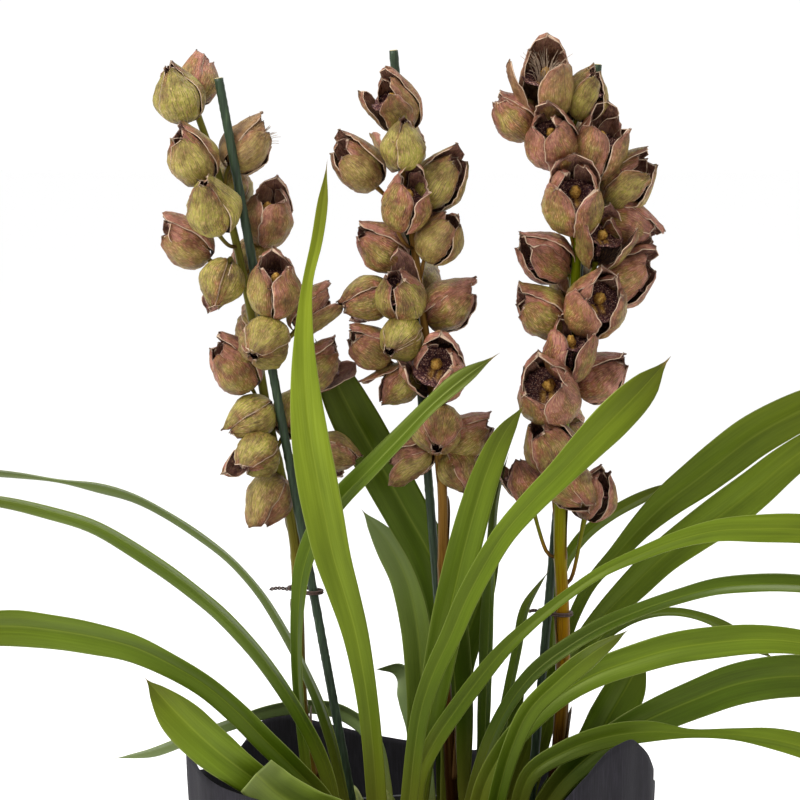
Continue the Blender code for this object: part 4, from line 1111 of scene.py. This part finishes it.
class ORCHID_OT_growing_mix(bpy.types.Operator):
    """Make the bark mix as a lumpy bed with loose chips, and give the pot its skin"""

    bl_idname = "orchid.growing_mix"
    bl_label = "Pot and growing mix"

    def execute(self, context):
        settings = context.scene.orchid_pot
        low, high = (np.array(corner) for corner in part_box("bark_mix"))
        bed_height = high[2] - 2 * MM
        top_radius = (high[0] - low[0]) / 2
        low_radius = top_radius * 0.79
        sides, top_rows = 96, 24
        angle = np.arange(sides) * 2 * math.pi / sides
        wall_radius = np.linspace(low_radius, top_radius, 6)[:, None]
        wall_height = np.linspace(low[2], bed_height, 6)[:, None]
        bed_radius = np.linspace(1, 0.02, top_rows)[:, None] * top_radius
        x, y = bed_radius * np.cos(angle), bed_radius * np.sin(angle)
        lumps = 2.2 * MM * (waves(x / 0.05, 3) + waves(y / 0.05 + x / 0.11, 4))
        lumps = lumps * ease(0, 0.2, 1 - bed_radius / top_radius)
        floor_radius = np.linspace(0.02, 1, 6)[:, None] * low_radius
        radius = np.vstack([floor_radius, wall_radius[1:], bed_radius[1:]]) * np.ones(sides)
        height = np.vstack([np.full((len(floor_radius), sides), low[2]), wall_height[1:] * np.ones(sides),
                            bed_height + lumps[1:]])
        bed = chunk(ring_points(radius, angle, height))
        bark = material(grained_material, "orchid bark", ("#2c1b10", "#5a3a22", "#8a6440"),
                        4 * MM, 0.85, 1.2 * MM)
        piece("bark_bed", [bed, *self.chips(settings, top_radius, high[2])], bark, ("bark_mix",))
        plastic = material(grained_material, "black pot plastic", ("#131415", "#1b1c1e", "#26282a"),
                           3 * MM, 0.5, 0.2 * MM)
        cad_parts["nursery_pot"].data.materials.clear()
        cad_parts["nursery_pot"].data.materials.append(plastic)
        return {"FINISHED"}

    def chips(self, settings, top_radius, top):
        """Loose chips: small six-sided lofts, flattened, turned and strewn over the bed."""
        draw = np.random.default_rng(42)
        made = []
        angle = np.arange(6) * math.pi / 3
        for _ in range(settings.chips):
            length = settings.chip_size * draw.uniform(0.5, 1.15)
            wide, thick = length * draw.uniform(0.45, 0.8), length * draw.uniform(0.18, 0.4)
            share = np.array((0.45, 1.0, 0.9, 0.4)) * draw.uniform(0.8, 1.2, 4)
            along = np.array((-1.0, -0.5, 0.5, 1.0)) * length
            rings = np.stack(np.broadcast_arrays(share[:, None] * wide * np.cos(angle),
                                                 share[:, None] * thick * np.sin(angle), along[:, None]), -1)
            rings = rings * draw.uniform(0.8, 1.2, rings.shape)
            spin = draw.uniform(0, 2 * math.pi)
            tilt, roll = draw.uniform(-0.35, 0.35), draw.uniform(-0.4, 0.4)
            east, north = math.cos(spin), math.sin(spin)
            ahead = np.array((east * math.cos(tilt), north * math.cos(tilt), math.sin(tilt)))
            side = unit(np.cross(ahead, (math.sin(roll) * north, -math.sin(roll) * east, 1.0)))
            place = top_radius * 0.94 * math.sqrt(draw.uniform(0, 1)) - length * 0.4
            where = draw.uniform(0, 2 * math.pi)
            centre = ring_points(place, where, top + draw.uniform(-1, 3) * MM)
            made.append(chunk(centre + rings @ np.array((side, np.cross(ahead, side), ahead))))
        return made


class ORCHID_OT_pseudobulbs(bpy.types.Operator):
    """Make the ribbed storage stems that stand on the mix"""

    bl_idname = "orchid.pseudobulbs"
    bl_label = "Pseudobulbs"

    def execute(self, context):
        skin = material(grained_material, "pseudobulb skin", ("#5c6427", "#788236", "#a09a5a"),
                        6 * MM, 0.5, 0.5 * MM)
        names = sorted(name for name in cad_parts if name.startswith("pseudobulb_"))
        for number, node in enumerate(names):
            low, high = (np.array(corner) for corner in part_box(node))
            centre, height = (low + high) / 2, high[2] - low[2]
            radius = min(high[0] - low[0], high[1] - low[1]) / 2
            v = np.linspace(0, 1, 26)
            angle = np.arange(40) * 2 * math.pi / 40
            outline = np.interp(v, (0, 0.15, 0.3, 0.6, 0.88, 1.0), (0.7, 0.93, 0.97, 0.83, 0.46, 0.08))
            outline = np.convolve(np.pad(outline, 2, "edge"), (0.1, 0.2, 0.4, 0.2, 0.1), "valid")
            ribs = 1 + 0.035 * np.cos(angle * 9 + number)[None] * np.sin(math.pi * v)[:, None]
            wide = radius * outline[:, None] * ribs
            points = (*centre[:2], 0) + ring_points(wide, angle, low[2] + v[:, None] * height)
            piece(f"bulb_{number + 1}", [chunk(points)], skin, (node,))
        return {"FINISHED"}


# ------------------------------------------------------------------------------------ stage
class OrchidStageSettings(bpy.types.PropertyGroup):
    """Camera, lights and floor."""

    distance: FloatProperty(name="Camera distance", description="From the camera to the plant", default=2.0,
                            unit="LENGTH")
    elevation: FloatProperty(name="Camera elevation", description="Angle above the level", subtype="ANGLE",
                             default=math.radians(6))
    view_width: FloatProperty(name="View width", description="Width of the picture at the plant",
                              default=0.576, unit="LENGTH")
    look_x: FloatProperty(name="Aim across", description="Where the camera aims, across", default=-0.0144,
                          unit="LENGTH")
    look_z: FloatProperty(name="Aim height", description="Where the camera aims, above the floor",
                          default=0.488, unit="LENGTH")
    floor_colour: FloatVectorProperty(name="Floor", description="Colour of the floor", subtype="COLOR",
                                      size=3, default=(0.97, 0.97, 0.97), min=0, max=1)


# Each light's offset from where the camera aims, in metres, its width in metres and its power in watts.
LIGHTS = {
    "key": ((-1.5, -0.9, 1.7), 1.1, 58),
    "fill": ((1.6, -1.5, 0.6), 1.6, 2),
    "back": ((0.6, 1.3, 2.0), 1.6, 26),
}
FLOOR_RADIUS = 30


class ORCHID_OT_stage(bpy.types.Operator):
    """Set up the camera, the soft studio light and the pale floor"""

    bl_idname = "orchid.stage"
    bl_label = "Stage"

    def execute(self, context):
        settings = context.scene.orchid_stage
        self.make_camera(context, settings)
        self.make_floor(context, settings)
        target = Vector((settings.look_x, 0, settings.look_z))
        for name, (offset, size, power) in LIGHTS.items():
            self.soft_light(context, name, target, offset, size, power)
        world = bpy.data.worlds.new("studio")
        world.use_nodes = True
        sky = world.node_tree.nodes["Background"].inputs
        sky["Color"].default_value = (1, 1, 1, 1)
        sky["Strength"].default_value = 1.03
        context.scene.world = world
        context.scene.view_settings.view_transform = "Standard"
        context.scene.view_settings.look = "None"
        return {"FINISHED"}

    def make_camera(self, context, settings):
        """A camera far enough away for a flat view, whose lens gives the view width at the plant."""
        data = bpy.data.cameras.new("camera")
        camera = bpy.data.objects.new("camera", data)
        context.scene.collection.objects.link(camera)
        data.sensor_width = 36.0
        data.lens = data.sensor_width * settings.distance / settings.view_width
        data.clip_end = 50.0
        target = Vector((settings.look_x, 0, settings.look_z))
        back = Vector((0, -math.cos(settings.elevation), math.sin(settings.elevation)))
        camera.location = target + back * settings.distance
        camera.rotation_euler = (-back).to_track_quat("-Z", "Y").to_euler()
        context.scene.camera = camera

    def soft_light(self, context, name, target, offset, size, power):
        """A round soft light at an offset from the target and turned towards it."""
        data = bpy.data.lights.new(name, "AREA")
        data.shape = "DISK"
        data.size = size
        data.energy = power
        light = bpy.data.objects.new(name, data)
        light.location = target + Vector(offset)
        light.rotation_euler = (target - light.location).to_track_quat("-Z", "Y").to_euler()
        context.scene.collection.objects.link(light)

    def make_floor(self, context, settings):
        """A flat round floor far wider than the plant."""
        mesh = bpy.data.meshes.new("floor")
        sides = 64
        corners = ring_points(FLOOR_RADIUS, np.arange(sides) * 2 * math.pi / sides, 0)
        mesh.from_pydata(corners.tolist(), [], [list(range(sides))])
        floor = bpy.data.objects.new("floor", mesh)
        made, _, shader = new_material("matt studio floor", 0.9)
        shader.inputs["Base Color"].default_value = (*settings.floor_colour, 1.0)
        mesh.materials.append(made)
        context.scene.collection.objects.link(floor)


# ------------------------------------------------------------------------------------ panel and run
SETTINGS = {
    "orchid_leaves": OrchidLeafSettings,
    "orchid_flowers": OrchidFlowerSettings,
    "orchid_sticks": OrchidStickSettings,
    "orchid_pot": OrchidPotSettings,
    "orchid_stage": OrchidStageSettings,
}
OPERATORS = (
    ORCHID_OT_wrap,
    ORCHID_OT_growing_mix,
    ORCHID_OT_pseudobulbs,
    ORCHID_OT_leaves,
    ORCHID_OT_flower_spikes,
    ORCHID_OT_sticks,
    ORCHID_OT_ties,
    ORCHID_OT_stage,
)


class ORCHID_PT_panel(bpy.types.Panel):
    """The orchid's pieces in the sidebar"""

    bl_label = "Potted Orchid"
    bl_idname = "ORCHID_PT_panel"
    bl_space_type = "VIEW_3D"
    bl_region_type = "UI"
    bl_category = "Orchid"

    def draw(self, context):
        for operator in OPERATORS:
            self.layout.operator(operator.bl_idname)
        for name, group in SETTINGS.items():
            box = self.layout.box()
            for key in group.__annotations__:
                box.prop(getattr(context.scene, name), key)


def register():
    """Registers the settings, the operators and the panel."""
    for group in SETTINGS.values():
        bpy.utils.register_class(group)
    for name, group in SETTINGS.items():
        setattr(bpy.types.Scene, name, PointerProperty(type=group))
    for operator in OPERATORS:
        bpy.utils.register_class(operator)
    bpy.utils.register_class(ORCHID_PT_panel)


def unregister():
    """Takes back everything that register made."""
    bpy.utils.unregister_class(ORCHID_PT_panel)
    for operator in reversed(OPERATORS):
        bpy.utils.unregister_class(operator)
    for name, group in SETTINGS.items():
        delattr(bpy.types.Scene, name)
        bpy.utils.unregister_class(group)


def main():
    """Makes every piece and the stage."""
    register()
    for operator in OPERATORS:
        group, name = operator.bl_idname.split(".")
        getattr(getattr(bpy.ops, group), name)()


if __name__ == "__main__":
    main()
